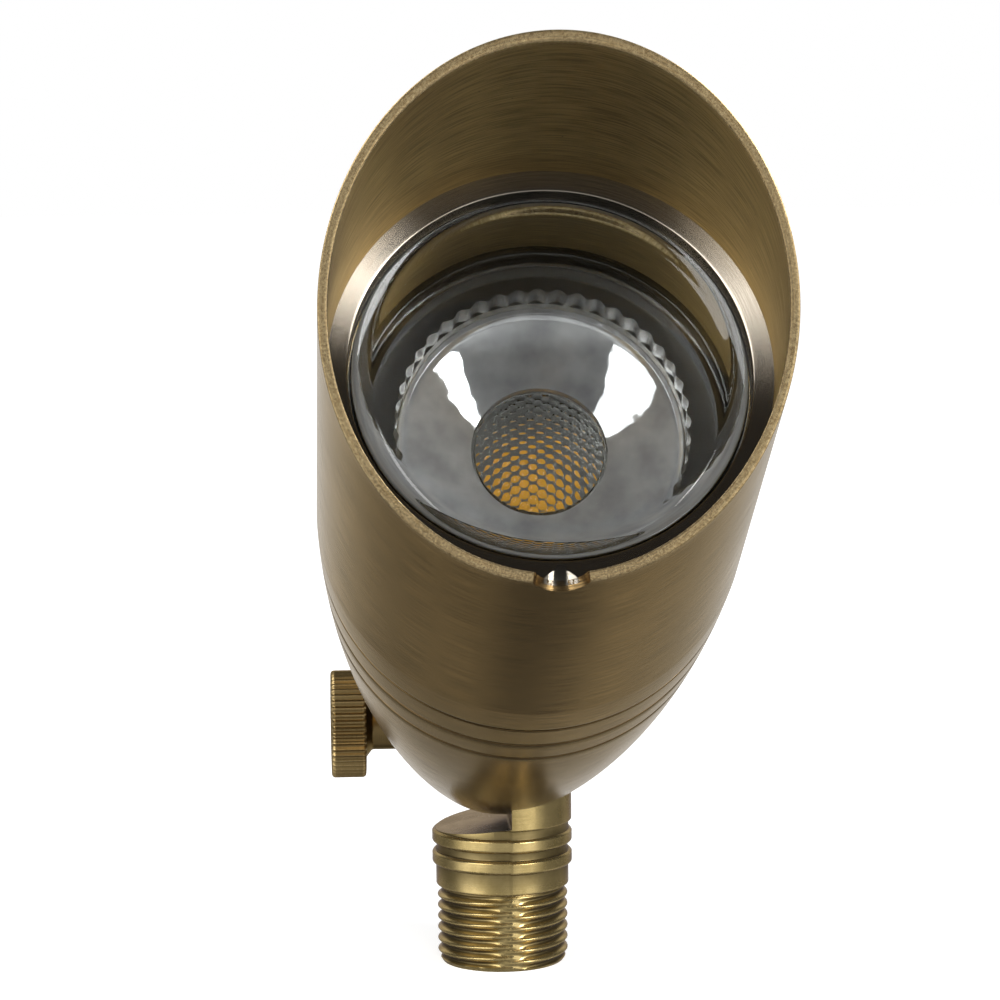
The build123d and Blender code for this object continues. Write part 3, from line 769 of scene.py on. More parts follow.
@dataclass
class Housing:
    """Bullet housing: spigot for the hood, grooved ogive, and a ball end whose right half is milled away."""

    finish: bpy.types.Material
    bore_finish: bpy.types.Material
    ogive: Ogive = field(default_factory=Ogive)
    shoulder: float = 80.25
    spigot: float = 28.0
    spigot_end: float = 127.3
    cavity: float = 25.4
    cavity_floor: float = 60.8
    tail_floor: float = 28.0
    tail_wall: float = 2.8
    grooves: tuple[float, ...] = (65.3, 72.95)
    groove_width: float = 0.7
    groove_depth: float = 0.55
    flat: float = 0.7
    relief: float = 11.65
    spot_face: float = 12.6
    spot_radius: float = 6.0
    screw_hole: float = 3.25
    columns: int = 320

    def section(self) -> Section:
        """Half section from the tail's pole up the outside, over the spigot and down the cavity.

        Returns:
            The section, from axis to axis.
        """
        _, tangent_s = self.ogive.tangent
        end = np.arccos(-tangent_s / self.ogive.ball)
        ball = [(self.ogive.ball * sin(a), -self.ogive.ball * cos(a)) for a in np.linspace(0, end, 40)]
        corners = ball
        station = tangent_s
        half = self.groove_width / 2
        for groove in self.grooves:
            low, high = groove - half, groove + half
            corners += self.ogive.run(station, low)[1:-1]
            root = self.ogive.at(groove) - self.groove_depth
            corners += [
                (self.ogive.at(low), low, 0.2, -0.5), (root, low, 0.15, -1.0), (root, high, 0.15, -1.0),
                (self.ogive.at(high), high, 0.2, 0.1),
            ]
            station = high
        corners += self.ogive.run(station, self.shoulder)[1:-1]
        tail = self.ogive.at(self.tail_floor) - self.tail_wall
        corners += [
            (self.ogive.at(self.shoulder), self.shoulder, 0.14, -0.5),
            (self.spigot, self.shoulder, 0.2, -1.0), (self.spigot, self.spigot_end, 0.3, 0.6),
            (self.cavity, self.spigot_end, 0.3, 0.6), (self.cavity, self.cavity_floor, 0.2),
            (tail, self.cavity_floor, 0.2), (tail, self.tail_floor, 0.2), (0, self.tail_floor),
        ]
        return Section.rounded(corners)

    def build(self) -> None:
        """Make the housing and put it in place of its node."""
        head = Stand.HEAD.axes()
        screw = Stand.SCREW.axes()
        mesh = turned(self.section(), head, self.columns).mesh("housing_skin")
        far = 3 * self.ogive.ball
        lap = np.array([(self.flat, -far), (far, -far), (far, far), (self.flat, far)])
        cutters = [
            prism("lap", lap, head, -far, self.relief, 0.3),
            prism("spot_face", disc_outline(self.spot_radius), screw, self.spot_face, far, 0.3),
            prism("screw_hole", disc_outline(self.screw_hole), screw, -far, far, 0.1),
        ]
        mesh = carve(mesh, cutters)
        radius, station = face_places(mesh, head)
        lining = self.bore_finish, (radius < self.cavity + 0.2) & (station > self.shoulder)
        show("housing_shell", mesh, self.finish, "head", "housing", lining=lining)


@dataclass
class Stem:
    """Cast stem: pipe thread with a flattened parting, two flanges, and the right half of the knuckle."""

    finish: bpy.types.Material
    thread: float = 10.65
    thread_length: float = 12.8
    pitch: float = 1.814
    thread_depth: float = 0.8
    thread_mid: float = 0.45
    run_out: float = 0.35
    run_out_cut: float = 0.75
    lead_in: float = 1.1
    plain: float = 10.85
    plain_end: float = 16.2
    flange: float = 11.45
    flange_height: float = 2.2
    flange_chamfer: float = 0.35
    groove_height: float = 1.3
    groove_depth: float = 0.75
    neck_height: float = 1.5
    neck_depth: float = 0.5
    tongue: float = 11.4
    tongue_flat: float = 1.0
    tongue_round: float = 11.2
    floor: float = 23.6
    floor_slope: float = 8.0
    entry: float = 4.3
    entry_length: float = 10.0
    bush: float = 3.6
    bush_top: float = 19.0
    parting_lean: float = 4.0
    parting_reach: float = 15.0
    parting_slip: float = 0.42
    parting_step: float = 0.07
    parting_shift: float = 0.12
    columns: int = 300

    def body(self) -> Section:
        """Half section above the thread, from the plain band to the tongue's top.

        Returns:
            The section, up to the axis.
        """
        top = Stand.HEAD.axes().origin[2] + self.tongue + 1
        low = self.plain_end
        groove = low + self.flange_height
        high = groove + self.groove_height
        neck = high + self.flange_height
        tongue = neck + self.neck_height
        chamfer = self.flange_chamfer
        edge = self.flange - chamfer
        root = self.flange - self.groove_depth
        waist = self.tongue - self.neck_depth
        return Section.rounded([
            (self.thread - self.run_out_cut * self.thread_depth, self.thread_length - self.run_out),
            (self.plain, self.thread_length, 0.2, 0.2), (self.plain, low, 0.2, -0.5),
            (edge, low, 0.15, 0.1), (self.flange, low + chamfer, 0.3, 0.2),
            (self.flange, groove - chamfer, 0.3, 0.2), (edge, groove, 0.15, 0.1),
            (root, groove, 0.25, -0.6), (root, high, 0.25, -0.6),
            (edge, high, 0.15, 0.1), (self.flange, high + chamfer, 0.3, 0.2),
            (self.flange, neck - chamfer, 0.3, 0.2), (edge, neck, 0.15, 0.1),
            (waist, neck, 0.25, -0.6), (waist, tongue, 0.25, -0.4),
            (self.tongue, tongue, 0.2, 0.2), (self.tongue, top), (0, top),
        ])

    def surface(self) -> Grid:
        """The stem's skin: a thread of radius R - d w(z / pitch - a / 2 pi), then the turned section.

        w is a triangle wave with soft tips. Each half of the mould has its own right-hand thread, whose
        ridges taper off past the partings between those of the other half, and the right half of the
        casting stands slightly proud and low.

        Returns:
            The skin, from the bush's hole over the foot to the top.
        """
        angle = around(self.columns)
        end = self.thread_length - self.run_out
        z = np.arange(self.lead_in / 16, end, self.pitch / 30)[:, None]
        lean = radians(self.parting_lean)
        off = np.degrees(np.arcsin(np.clip(np.cos(angle - lean), -1, 1)))
        mid = self.thread_mid
        ridge = 0.0
        cut = mid
        for side, slip in ((1, self.parting_slip), (-1, 0.0)):
            phase = z / self.pitch - angle / (2 * pi) + slip
            wave = smooth_step(0.02, 0.98, np.abs(2 * (phase % 1) - 1))
            share = smooth_step(-self.parting_reach, 1.4 * self.parting_reach, side * off)
            ridge = np.maximum(ridge, share * np.clip(mid - wave, 0, None))
            cut = cut + smooth_step(0, 1.6 * self.parting_reach, side * off) * np.clip(wave - mid, 0, None)
        cut = cut - ridge
        fade = smooth_step(self.thread_length - 1.0, end, z)
        cut = cut + fade * (self.run_out_cut - cut)
        thread = self.thread - self.thread_depth * cut
        lead = self.thread - 0.7 * np.clip(self.lead_in - z, 0, None)
        thread = np.minimum(thread, lead)
        # Painted shade: the roots darken away from the partings; the crests get a little bare metal
        root_shade = 0.8 * smooth_step(0.45, 0.95, cut) * smooth_step(5, 30, np.abs(off))
        crest_wear_and_shade = np.clip(1 - 3 * cut, 0, 1) * 0.3 - root_shade
        body = self.body()
        foot = Section.rounded([
            (0, self.bush_top), (self.bush, self.bush_top), (self.bush, self.entry_length),
            (self.entry, self.entry_length), (self.entry, 0, 0.4, 0.5),
            (self.thread - self.thread_depth, 0, 0.1, 0.3),
        ])
        blank = np.ones((1, self.columns))
        r = np.concatenate([foot.r[:, None] * blank, thread, body.r[:, None] * blank])
        height = np.concatenate([foot.s[:, None] * blank, z * blank, body.s[:, None] * blank])
        bare = np.concatenate([foot.bare[:, None] * blank, crest_wear_and_shade, body.bare[:, None] * blank])
        right = smooth_step(-0.012, 0.012, np.cos(angle - lean))
        outside = (height > 0.05) & (r > self.bush + 2)
        r = r + np.where(outside, self.parting_step * (right - 1), 0)
        height = height - np.where(outside & (height > self.plain_end - 1), self.parting_shift * right, 0)
        points = Stand.STEM.axes().place(r * np.cos(angle), r * np.sin(angle), height)
        return Grid(points, bare, self.thread)

    def build(self) -> None:
        """Make the stem and put it in place of its node."""
        pivot = Stand.HEAD.axes().origin[2]
        axes = Stand.STEM.axes()
        far = 4 * self.tongue
        fall = far * tan(radians(self.floor_slope))
        # Looking along Y, the outline's first direction is Z and its second is X
        side = Axes(axes.origin, axes.along, axes.across, axes.up)
        milled = np.array([
            (self.floor, self.tongue_flat), (self.floor - fall, self.tongue_flat - far),
            (pivot + far, self.tongue_flat - far), (pivot + far, self.tongue_flat),
        ])
        # Looking along X, the tongue ends in a half round about the pivot
        front = Axes(axes.origin, axes.up, axes.along, axes.across)
        turn = np.linspace(0, pi, 121)
        arch = np.stack([self.tongue_round * np.cos(turn), pivot + self.tongue_round * np.sin(turn)], -1)
        wide = self.tongue + 1
        arch = np.concatenate([[(-wide, pivot), (-wide, -1), (wide, -1), (wide, pivot)], arch])
        mesh = self.surface().mesh("stem_skin")
        mesh = carve(mesh, [prism("arch", arch, front, -far, far, 0.5)], Carve.WITHIN)
        # Painted shade: a bare weight below zero darkens the milled floor under the ball end
        mesh = carve(mesh, [prism("milled", milled, side, -far, far, -0.8)])
        show("stem_casting", mesh, self.finish, "stem", "stem")


@dataclass
class Thumbscrew:
    """Knurled thumbscrew: straight-knurled knob with soft corners, cone and neck, and its screw."""

    finish: bpy.types.Material
    screw: float = 3.0
    tip: float = -8.6
    neck: float = 4.25
    neck_foot: float = 13.8
    neck_end: float = 21.0
    shoulder: float = 5.55
    knob_foot: float = 22.0
    knob_top: float = 27.6
    knob: float = 8.7
    corner: float = 0.6
    dish: float = 0.5
    knurls: int = 48
    knurl_depth: float = 0.42
    per_knurl: int = 12

    def surface(self) -> Grid:
        """The screw's skin: on the knob the radius falls by the depth times ((1 + cos n a) / 2) ^ 0.7.

        Returns:
            The skin, from tip to top.
        """
        section = Section.rounded([
            (0, self.tip), (self.screw, self.tip, 0.6, 0.2), (self.screw, self.neck_foot, 0.1),
            (self.neck, self.neck_foot, 0.2, 0.5), (self.neck, self.neck_end, 0.5),
            (self.shoulder, self.knob_foot, 0.3), (self.knob, self.knob_foot, self.corner, 0.3),
            (self.knob, self.knob_foot + 1.5), (self.knob, self.knob_top - 1.5),
            (self.knob, self.knob_top, self.corner, 0.5), (self.knob - 1.6, self.knob_top, 0.3, 0.4),
            (self.knob - 2.4, self.knob_top - self.dish, 0.3), (0, self.knob_top - self.dish),
        ])
        angle = around(self.knurls * self.per_knurl)
        groove = ((1 + np.cos(self.knurls * angle)) / 2) ** 0.7
        full = smooth_step(self.knob - 2.0 * self.corner, self.knob - 0.4 * self.corner, section.r)[:, None]
        r = section.r[:, None] - self.knurl_depth * full * groove
        bare = np.clip(section.bare[:, None] + 0.75 * full * (1 - groove) ** 3, 0, 1)
        s = np.broadcast_to(section.s[:, None], r.shape)
        points = Stand.SCREW.axes().place(r * np.cos(angle), r * np.sin(angle), s)
        return Grid(points, bare, self.knob)

    def build(self) -> None:
        """Make the thumbscrew and put it in place of its node."""
        mesh = self.surface().mesh("thumbscrew")
        show("thumbscrew_knob", mesh, self.finish, "thumbscrew", "thumbscrew")


@dataclass
class Lens:
    """Thick stepped glass with a softly rounded crown."""

    finish: bpy.types.Material
    flange: float = 27.7
    back: float = 128.4
    flange_front: float = 132.4
    crown: float = 25.85
    crown_top: float = 136.0
    crown_round: float = 2.9
    columns: int = 288

    def build(self) -> None:
        """Make the lens and put it in place of its node."""
        turn = np.linspace(0, pi / 2, 16)
        arc_r = self.crown - self.crown_round * (1 - np.cos(turn))
        arc_s = self.crown_top - self.crown_round * (1 - np.sin(turn))
        section = Section.rounded([
            (0, self.back), (self.flange, self.back, 0.4), (self.flange, self.flange_front, 0.4),
            (self.crown, self.flange_front, 0.2), *zip(arc_r, arc_s), (0, self.crown_top),
        ])
        mesh = turned(section, Stand.HEAD.axes(), self.columns).mesh("lens")
        piece = show("lens_glass", mesh, self.finish, "lens_pack", "lens")
        # Lamps light what lies behind the glass as if it weren't there
        piece.visible_shadow = False


@dataclass
class Lamp:
    """Reflector lamp: glass cup, fluted clear ring, and a coated bowl with a domed, pebbled middle."""

    glass: bpy.types.Material
    optic_finish: bpy.types.Material
    bowl_finish: bpy.types.Material
    ring_finish: bpy.types.Material
    phosphor_finish: bpy.types.Material
    face: float = 118.0
    radius: float = 24.9
    rim_height: float = 5.0
    cup_height: float = 32.0
    wall: float = 1.4
    cup_neck: float = 10.5
    cup_bulge: float = 4.2
    ring_inner: float = 18.5
    ring_outer: float = 22.4
    ring_top: float = 117.1
    ring_height: float = 6.2
    flutes: int = 44
    flute_depth: float = 0.5
    flute_land: float = 0.8
    optic: float = 18.3
    optic_face: float = 112.6
    optic_edge: float = 3.0
    bowl_rim: float = 1.0
    bowl_depth: float = 3.4
    well: float = 8.6
    well_gap: float = 0.06
    well_depth: float = 4.6
    well_dome: float = 2.6
    lens_foot: float = 2.5
    phosphor: float = 3.8
    phosphor_foot: float = 98.6
    phosphor_top: float = 99.4
    bead_pitch: float = 1.25
    bead_height: float = 0.45
    bead_fall: float = 0.72
    bead_floor: float = 0.05
    bead_edge: float = 0.35
    bead_rows: int = 100
    columns: int = 560

    def cup(self) -> Section:
        """Half section of the cup's wall, whose side goes through its neck, bulge and rim.

        Returns:
            The section, from axis to axis.
        """
        foot = self.face - self.cup_height
        rim = self.face - self.rim_height
        outer = self.side(0.0, foot, rim)
        inner = self.side(self.wall, foot, rim)
        inner = [spot for spot in inner if spot[1] > foot + self.wall]
        return Section.rounded([
            (0, foot), *outer, (self.radius, self.face, 0.5), (self.radius - self.wall, self.face, 0.5),
            *inner[::-1], (inner[0][0] - 0.3, foot + self.wall), (0, foot + self.wall),
        ])

    def side(self, inset: float, foot: float, rim: float) -> list[tuple[float, float]]:
        """Points of the cup's side: a parabola through the neck, the bulge at half height and the rim.

        Args:
            inset: how far the side lies within the outer one.
            foot: station of the neck.
            rim: station of the rim's foot.
        Returns:
            Pairs of a radius and a station.
        """
        t = np.linspace(0, 1, 24)
        r = self.cup_neck + (self.radius - self.cup_neck) * t + 4 * self.cup_bulge * t * (1 - t) - inset
        return list(zip(r.tolist(), (foot + (rim - foot) * t).tolist()))

    def ring(self) -> Grid:
        """Ring whose inner wall is fluted: its radius grows by the depth times (1 + cos n a) / 2.

        Returns:
            The ring's skin.
        """
        foot = self.ring_top - self.ring_height
        ledge = self.optic_face + self.flute_land
        count = self.flutes * 16
        angle = around(count)
        flute = self.flute_depth * (1 + np.cos(self.flutes * angle)) / 2
        inner, outer, top = self.ring_inner, self.ring_outer, self.ring_top
        # Radius, station and share of the flutes of each row
        rows = np.array([
            (outer, foot, 0), (outer, top - 0.2, 0), (outer - 0.2, top, 0), (inner + 1.3, top, 0),
            (inner, top, 1), (inner, top - 0.05, 1), (inner, ledge + 0.02, 1), (inner, ledge, 0),
            (inner, foot, 0),
        ])
        r, s, share = rows.T[..., None]
        r = r + share * flute
        s = np.repeat(s, count, 1)
        points = Stand.HEAD.axes().place(r * np.cos(angle), r * np.sin(angle), s)
        return Grid(points, np.zeros(r.shape), inner, ring=True)

    def pebbles(self, x: np.ndarray, y: np.ndarray) -> np.ndarray:
        """Height of a field of beads: caps over the points of a lattice of equal triangles.

        The nearest point is the nearer one of two square-cornered lattices, each root 3 pitches by one.

        Args:
            x: places across the lamp.
            y: places up the lamp.
        Returns:
            The height at each place.
        """
        step = np.array([self.bead_pitch * sqrt(3), self.bead_pitch])
        spot = np.stack([x, y], -1)
        gaps = []
        for shift in (0.0, 0.5):
            near = (np.round(spot / step - shift) + shift) * step
            gaps.append(np.linalg.norm(spot - near, axis=-1))
        gap = np.minimum(*gaps) / (self.bead_pitch / 2)
        return self.bead_height * np.sqrt(np.clip(1 - self.bead_fall * gap**2, self.bead_floor, None))

    def bowl(self) -> Section:
        """Half section of the optic's bowl: its inside is a parabola, its outside the flared flank.

        Returns:
            The section, as a closed ring.
        """
        t = np.linspace(0, 1, 16)
        lip = self.optic - self.bowl_rim
        drop = self.optic_face - 0.3
        hole = self.well + self.well_gap
        r = lip + (hole - lip) * t
        s = drop - self.bowl_depth * (lip**2 - r**2) / (lip**2 - hole**2)
        inside = list(zip(r.tolist(), s.tolist()))
        floor = self.optic_face - self.well_depth
        return Section.rounded([
            (hole, floor - 1.0), (self.well + 1.2, floor - 1.0),
            (self.optic, self.optic_face - self.optic_edge, 3.0), (self.optic, self.optic_face, 0.3),
            (lip + 0.2, self.optic_face, 0.15), *inside, (hole, floor - 0.5),
        ])

    def bead_lens(self) -> Grid:
        """Clear lens in the bowl's middle: a dome d (1 - (r / R)^2) over its foot, covered with beads.

        Returns:
            The lens' skin.
        """
        base = self.optic_face - self.well_depth
        foot = base - self.lens_foot
        beaded = self.well - self.bead_edge
        section = Section.rounded([
            (0, foot), (self.well, foot, 0.3), (self.well, base, 0.3), (beaded, base),
        ])
        radii = np.linspace(beaded, 0, self.bead_rows)[1:]
        dome = base + self.well_dome * (1 - (radii / self.well) ** 2)
        angle = around(self.columns)
        r = np.concatenate([section.r, radii])[:, None]
        x, y = r * np.cos(angle), r * np.sin(angle)
        s = np.repeat(np.concatenate([section.s, dome])[:, None], self.columns, 1)
        inside = np.concatenate([np.zeros(len(section.r)), np.ones(len(radii))])[:, None]
        s = s + inside * self.pebbles(x, y)
        return Grid(Stand.HEAD.axes().place(x, y, s), np.zeros(s.shape), self.optic)

    def build(self) -> None:
        """Make the lamp's visible pieces and put them in place of their nodes."""
        head = Stand.HEAD.axes()
        cup = turned(self.cup(), head, 192).mesh("cup")
        cup = show("lamp_glass_cup", cup, self.glass, "lamp", "lamp_cup")
        beads = self.bead_lens().mesh("beads")
        beads = show("lamp_optic_beads", beads, self.optic_finish, "lamp", "lamp_optic", 70.0)
        bowl = turned(self.bowl(), head, 240, ring=True).mesh("bowl")
        show("lamp_optic_bowl", bowl, self.bowl_finish, "lamp", "lamp_optic")
        ring = self.ring().mesh("ring")
        ring = show("lamp_fluted_ring", ring, self.ring_finish, "lamp", "lamp_ring")
        disc = Section.rounded([
            (0, self.phosphor_foot), (self.phosphor, self.phosphor_foot),
            (self.phosphor, self.phosphor_top, 0.2), (0, self.phosphor_top),
        ])
        disc = turned(disc, head, 96).mesh("phosphor")
        show("led_phosphor_disc", disc, self.phosphor_finish, "lamp", "led_cob")
        # Lamps light what lies behind the clear pieces as if they weren't there
        for piece in (cup, beads, ring):
            piece.visible_shadow = False


@dataclass
class Studio:
    """White studio: camera at the photograph's view, pale floor, painted surround, soft boxes and a fill.

    The surround's levels are pairs of an azimuth in degrees, where 0 is the camera's side, and a brightness.
    """

    focal_px: float = 3633.8
    image_px: float = 1000.0
    sensor: float = 36.0
    elevation: float = 6.856
    azimuth: float = 3.337
    roll: float = -0.523
    pivot_px: tuple[float, float] = (500.72, 720.63)
    pivot_depth: float = 591.7
    floor_size: float = 6.0
    floor_colour: str = "#e6e6e6"
    tent_radius: float = 2.5
    soft_level: float = 0.2
    aim: tuple[float, float, float] = (0, -0.08, 0.1)
    table: tuple[tuple[float, float], ...] = (
        (-180, 0.42), (-165, 0.38), (-60, 0.34), (0, 0.4), (60, 0.5), (120, 0.6), (165, 0.55), (180, 0.42),
    )
    cloth: tuple[tuple[float, float], ...] = (
        (-180, 1.0), (-145, 1.0), (-130, 0.03), (130, 0.03), (145, 1.0), (180, 1.0),
    )
    pools: tuple[tuple[float, float], ...] = (
        (-180, 1.2), (-145, 0.6), (-118, 0.2), (-92, 0.22), (-68, 1.8), (-40, 2.0), (-24, 0.8), (-10, 0.55),
        (10, 0.55), (22, 1.4), (46, 1.9), (60, 0.7), (74, 0.2), (112, 0.2), (140, 0.6), (180, 1.2),
    )
    shade: tuple[tuple[float, float], ...] = (
        (-180, 0.06), (-171, 0.08), (-161, 0.28), (0, 0.3), (144, 0.42), (159, 0.1), (180, 0.06),
    )

    def camera(self) -> None:
        """Camera whose lens, turn and distance put the pivot on its pixel in the square frame."""
        lift, swing, roll = radians(self.elevation), radians(self.azimuth), radians(self.roll)
        spin = np.array([[cos(roll), -sin(roll), 0], [sin(roll), cos(roll), 0], [0, 0, 1]])
        up = spin @ np.array([0, -cos(lift), -sin(lift)])
        level = spin @ np.array([1.0, 0, 0])
        away = spin @ np.array([0, -sin(lift), cos(lift)])
        right = cos(swing) * level + sin(swing) * away
        ahead = cos(swing) * away - sin(swing) * level
        seen = np.stack([right, ahead, up], -1)
        ray = np.ones(3)
        ray[:2] = (np.array(self.pivot_px) - self.image_px / 2) / self.focal_px
        spot = Stand.HEAD.axes().origin - seen.T @ (ray * self.pivot_depth)
        turn = Matrix(seen.T @ np.diag([1.0, -1.0, -1.0])).to_4x4()
        data = bpy.data.cameras.new("Camera")
        data.sensor_width = self.sensor
        data.lens = self.focal_px / self.image_px * self.sensor
        data.clip_start = 0.02
        camera = bpy.data.objects.new("Camera", data)
        camera.matrix_world = Matrix.Translation(Vector(spot * MM)) @ turn
        bpy.context.scene.collection.objects.link(camera)
        bpy.context.scene.camera = camera

    def seen_plainly(self, tree: bpy.types.NodeTree) -> bpy.types.Node:
        """1 for rays from the camera, a mirror or through glass, and 0 for the rest.

        Args:
            tree: the node tree.
        Returns:
            The node that gives the number.
        """
        path = add(tree, "LightPath").outputs
        either = add(tree, "Math", {0: path["Is Camera Ray"], 1: path["Is Glossy Ray"]}, operation="MAXIMUM")
        return add(tree, "Math", {0: either, 1: path["Is Transmission Ray"]}, operation="MAXIMUM")

    def world(self) -> None:
        """White surround for what is seen in it, and a softer level for the light that it gives."""
        world = bpy.data.worlds.new("Surround")
        world.use_nodes = True
        tree = world.node_tree
        tree.nodes.clear()
        soft = add(tree, "Background", {"Color": linear("#ffffff"), "Strength": self.soft_level})
        white = add(tree, "Background", {"Color": linear("#ffffff"), "Strength": 1.0})
        both = add(tree, "MixShader", {0: self.seen_plainly(tree), 1: soft, 2: white})
        add(tree, "OutputWorld", {"Surface": both})
        bpy.context.scene.world = world

    def floor(self) -> None:
        """Pale painted floor that keeps the shadow, and away from the object is as white as the surround."""
        material, tree = new_tree("Painted floor")
        paint = add(tree, "BsdfDiffuse", {"Color": linear(self.floor_colour)})
        place = add(tree, "TexCoord").outputs["Object"]
        away = add(tree, "VectorMath", {0: place}, operation="LENGTH").outputs["Value"]
        glow = add(tree, "MapRange", {"Value": away, 1: 0.05, 2: 0.2, 3: 0.6, 4: 1.0})
        seen = add(tree, "LightPath").outputs["Is Camera Ray"]
        glow = add(tree, "Math", {0: seen, 1: glow}, operation="MULTIPLY")
        glow = add(tree, "Emission", {"Strength": glow})
        close_tree(tree, add(tree, "AddShader", {0: paint, 1: glow}))
        half = self.floor_size / 2
        mesh = bpy.data.meshes.new("Floor")
        corners = [(-half, -half, 0), (half, -half, 0), (half, half, 0), (-half, half, 0)]
        mesh.from_pydata(corners, [], [(0, 1, 2, 3)])
        mesh.materials.append(material)
        floor = bpy.data.objects.new("Floor", mesh)
        bpy.context.scene.collection.objects.link(floor)
        # Mirrors see the painted surround in its place
        floor.visible_glossy = False

    def soft_box(
        self, name: str, turn: float, lift: float, distance: float, size: tuple[float, float],
        radiance: float,
    ) -> bpy.types.Object:
        """Area lamp aimed at the head.

        Args:
            name: name of the lamp.
            turn: degrees round from the camera's side, positive to the right.
            lift: degrees above the floor.
            distance: metres from the head.
            size: width and height in metres.
            radiance: brightness of its face, where 1 is white.
        Returns:
            The lamp.
        """
        swing, rise = radians(turn), radians(lift)
        way = Vector((sin(swing) * cos(rise), -cos(swing) * cos(rise), sin(rise)))
        data = bpy.data.lights.new(name, "AREA")
        data.shape = "RECTANGLE"
        data.size, data.size_y = size
        data.energy = radiance * pi * size[0] * size[1]
        lamp = bpy.data.objects.new(name, data)
        lamp.location = Vector(self.aim) + way * distance
        lamp.rotation_euler = (-way).to_track_quat("-Z", "Y").to_euler()
        bpy.context.scene.collection.objects.link(lamp)
        return lamp

    def ramp(self, tree: bpy.types.NodeTree, turn: bpy.types.Node, levels: tuple) -> bpy.types.Node:
        """Level that changes with the azimuth.

        Args:
            tree: the node tree.
            turn: azimuth from 0 to 1, where the half is the camera's side.
            levels: pairs of an azimuth in degrees and a level up to 2.
        Returns:
            The node that gives the level.
        """
        node = add(tree, "ValToRGB", {"Fac": turn})
        stops = node.color_ramp.elements
        for angle, _ in levels[1:-1]:
            stops.new((angle + 180) / 360)
        for stop, (_, level) in zip(stops, levels):
            stop.color = (level / 2, level / 2, level / 2, 1.0)
        return add(tree, "Math", {0: node, 1: 2.0}, operation="MULTIPLY")

    def tent(self) -> None:
        """Painted surround that only mirrors and glass see.

        It is dark cloth before the object and white behind it. Below the horizon are the pools of light
        before the soft boxes, then the grey table, and the object's own shade straight below.
        """
        material, tree = new_tree("Painted studio surround")
        way = add(tree, "TexCoord").outputs["Object"]
        way = add(tree, "VectorMath", {0: way}, operation="NORMALIZE")
        part = add(tree, "SeparateXYZ", {0: way}).outputs
        front = add(tree, "Math", {0: part["Y"], 1: -1.0}, operation="MULTIPLY")
        turn = add(tree, "Math", {0: part["X"], 1: front}, operation="ARCTAN2")
        turn = add(tree, "MapRange", {"Value": turn, 1: -pi, 2: pi})
        lift = add(tree, "Math", {0: part["Z"]}, operation="ARCSINE")
        level = self.ramp(tree, turn, self.shade)
        for low, high, levels in ((-51, -46, self.table), (-32, -10, self.pools), (2, 14, self.cloth)):
            upper = self.ramp(tree, turn, levels)
            rise = add(tree, "MapRange", {"Value": lift, 1: radians(low), 2: radians(high)},
                       interpolation_type="SMOOTHSTEP")
            level = add(tree, "Mix", {"Factor": rise, 2: level, 3: upper})
        close_tree(tree, add(tree, "Emission", {"Strength": level}))
        # Sphere: the point at turn a and lift e is (cos e sin a, -cos e cos a, sin e) times the radius
        columns, rows = 73, 61
        turn = np.linspace(-pi, pi, columns)
        lift = np.radians(np.linspace(-89, 89, rows))[:, None]
        spots = self.tent_radius * np.stack([
            np.cos(lift) * np.sin(turn), -np.cos(lift) * np.cos(turn), np.sin(lift) * np.ones(columns)
        ], -1)
        at = np.arange(rows - 1)[:, None] * columns + np.arange(columns - 1)
        faces = np.stack([at, at + 1, at + columns + 1, at + columns], -1).reshape(-1, 4)
        mesh = bpy.data.meshes.new("Tent")
        mesh.from_pydata(spots.reshape(-1, 3), [], faces)
        mesh.materials.append(material)
        tent = bpy.data.objects.new("Tent", mesh)
        bpy.context.scene.collection.objects.link(tent)
        tent.visible_camera = False
        tent.visible_diffuse = False
        tent.visible_shadow = False

    def build(self) -> None:
        """Set up the camera, the floor, the surround and the lamps."""
        bpy.context.scene.view_settings.view_transform = "Standard"
        self.camera()
        self.world()
        self.floor()
        self.tent()
        self.soft_box("Left box", -46, 28, 0.9, (0.64, 0.6), 5.0)
        self.soft_box("Right box", 45, 24, 0.9, (0.34, 0.44), 13.0)
        fill = self.soft_box("Front fill", 6, 19, 1.2, (0.36, 0.3), 11.0)
        fill.visible_glossy = False
        fill.visible_transmission = False


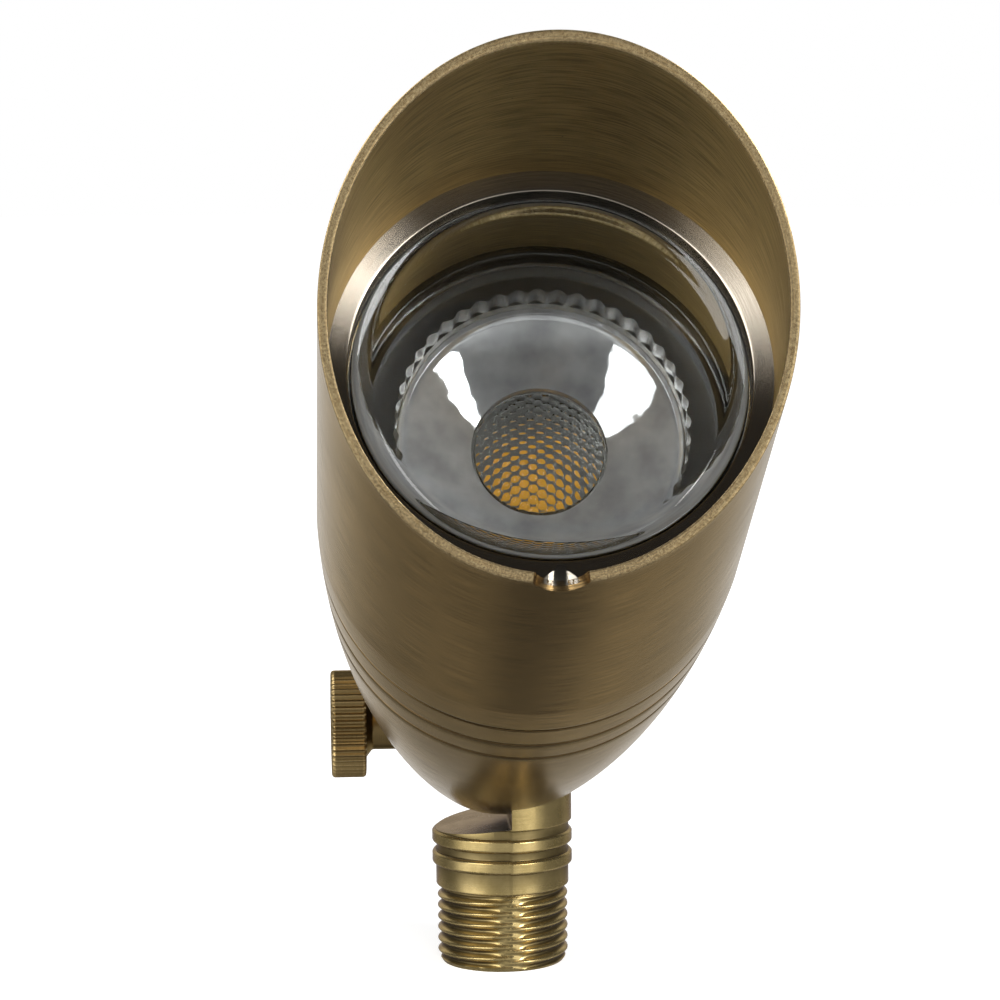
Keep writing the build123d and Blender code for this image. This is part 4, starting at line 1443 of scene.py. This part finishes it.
def dress_nodes() -> None:
    """Give the CAD nodes that stay in view or inside the head their own finishes."""
    steel = Plain("Zinc-plated steel, pressed", "#8d8f92", "#b9bbbd", 0.35, 1.0).build()
    nickel = Plain("Nickel-plated contact, drawn", "#9b968c", "#c4beb2", 0.25, 1.0).build()
    ceramic = Plain("Steatite ceramic, fired", "#d9d6cc", "#efede6", 0.6).build()
    rubber = Plain("Black nitrile rubber, moulded", "#0d0d0d", "#1d1d1c", 0.6).build()
    spreader = Plain("Aluminium heat spreader, turned", "#a9abae", "#d0d2d4", 0.3, 1.0).build()
    board = Plain("Aluminium board, brushed", "#8d8d8b", "#b4b4b1", 0.3, 0.6).build()
    brass = Brass("Antique brass washer, turned", "#65522f", "#8e784a", "#b0955c", 0.32).build()
    finishes = {
        steel: ("socket_bracket", "bracket_screws", "socket_screws"),
        nickel: ("socket_contacts", "lamp_pins"),
        ceramic: ("lamp_socket", "lamp_base"),
        rubber: ("wire_bush", "knuckle_seal", "hood_seal", "wire_grommet", "lens_gasket", "rear_gasket"),
        spreader: ("lamp_core",),
        board: ("led_board",),
        brass: ("thumbscrew_washer",),
    }
    for material, names in finishes.items():
        for name in names:
            node = frame["nodes"][name]
            node.data.materials.clear()
            node.data.materials.append(material)
            log.info("%s: %s", name, material.name)


def main() -> None:
    """Build the studio and the spotlight's pieces in order."""
    logging.basicConfig(level=logging.INFO, format="%(message)s")
    Studio().build()
    aged = Brass(
        "Antique brass, brushed in rings and lacquered", "#5a482e", "#a3875a", "#d8c59a", 0.21
    ).build()
    faced = Brass("Antique brass, faced on the lathe and lacquered", "#958c7e", "#bdb5a8", "#d6c9a4", 0.2,
                  brush_depth=0.0003, grain_depth=0.0, anisotropy=0.95, bloom=0.0, metallic=1.0).build()
    bored = Brass("Antique brass, bored in rings and lacquered", "#625234", "#a18958", "#d8c59a", 0.36,
                  brush_depth=0.0008, anisotropy=0.95).build()
    cast = Brass("Antique brass, cast and tumbled", "#93804f", "#cab47e", "#dcc890", 0.26,
                 brush_share=0.15, grain=0.4, grain_depth=0.006, saw_depth=0.0, patina=5.0, bloom=0.05,
                 edge="#aaa4ac").build()
    knurled = Brass("Antique brass, turned and knurled", "#756240", "#9c8659", "#b8a070", 0.32,
                    brush_share=0.2, saw_depth=0.002).build()
    glass = Clear("Soda-lime glass, pressed and polished", "#fbfdfc", 1.52, 0.0, 9.0, 0.004).build()
    lamp_glass = Clear("Borosilicate lamp glass, pressed", "#f7faf9", 1.47, 0.02, 4.0, 0.03).build()
    acrylic = Clear("Acrylic optic, moulded", "#fcfdfd", 1.49, 0.0, 7.0, 0.006).build()
    satin = Clear("Acrylic ring, moulded satin", "#fafbfb", 1.49, 0.24, 3.0, 0.02).build()
    bowl = Coated("Acrylic bowl, bright coated behind", "#a2a3a5", "#c6c7c8", 0.03).build()
    phosphor = Plain("LED phosphor, cast silicone", "#ffb02a", "#ffc64e", 0.45, 0.0, 0.8).build()
    Hood(aged, bored, faced).build()
    Housing(aged, bored).build()
    Stem(cast).build()
    Thumbscrew(knurled).build()
    Lens(glass).build()
    Lamp(lamp_glass, acrylic, bowl, satin, phosphor).build()
    dress_nodes()


if __name__ == "__main__":
    main()
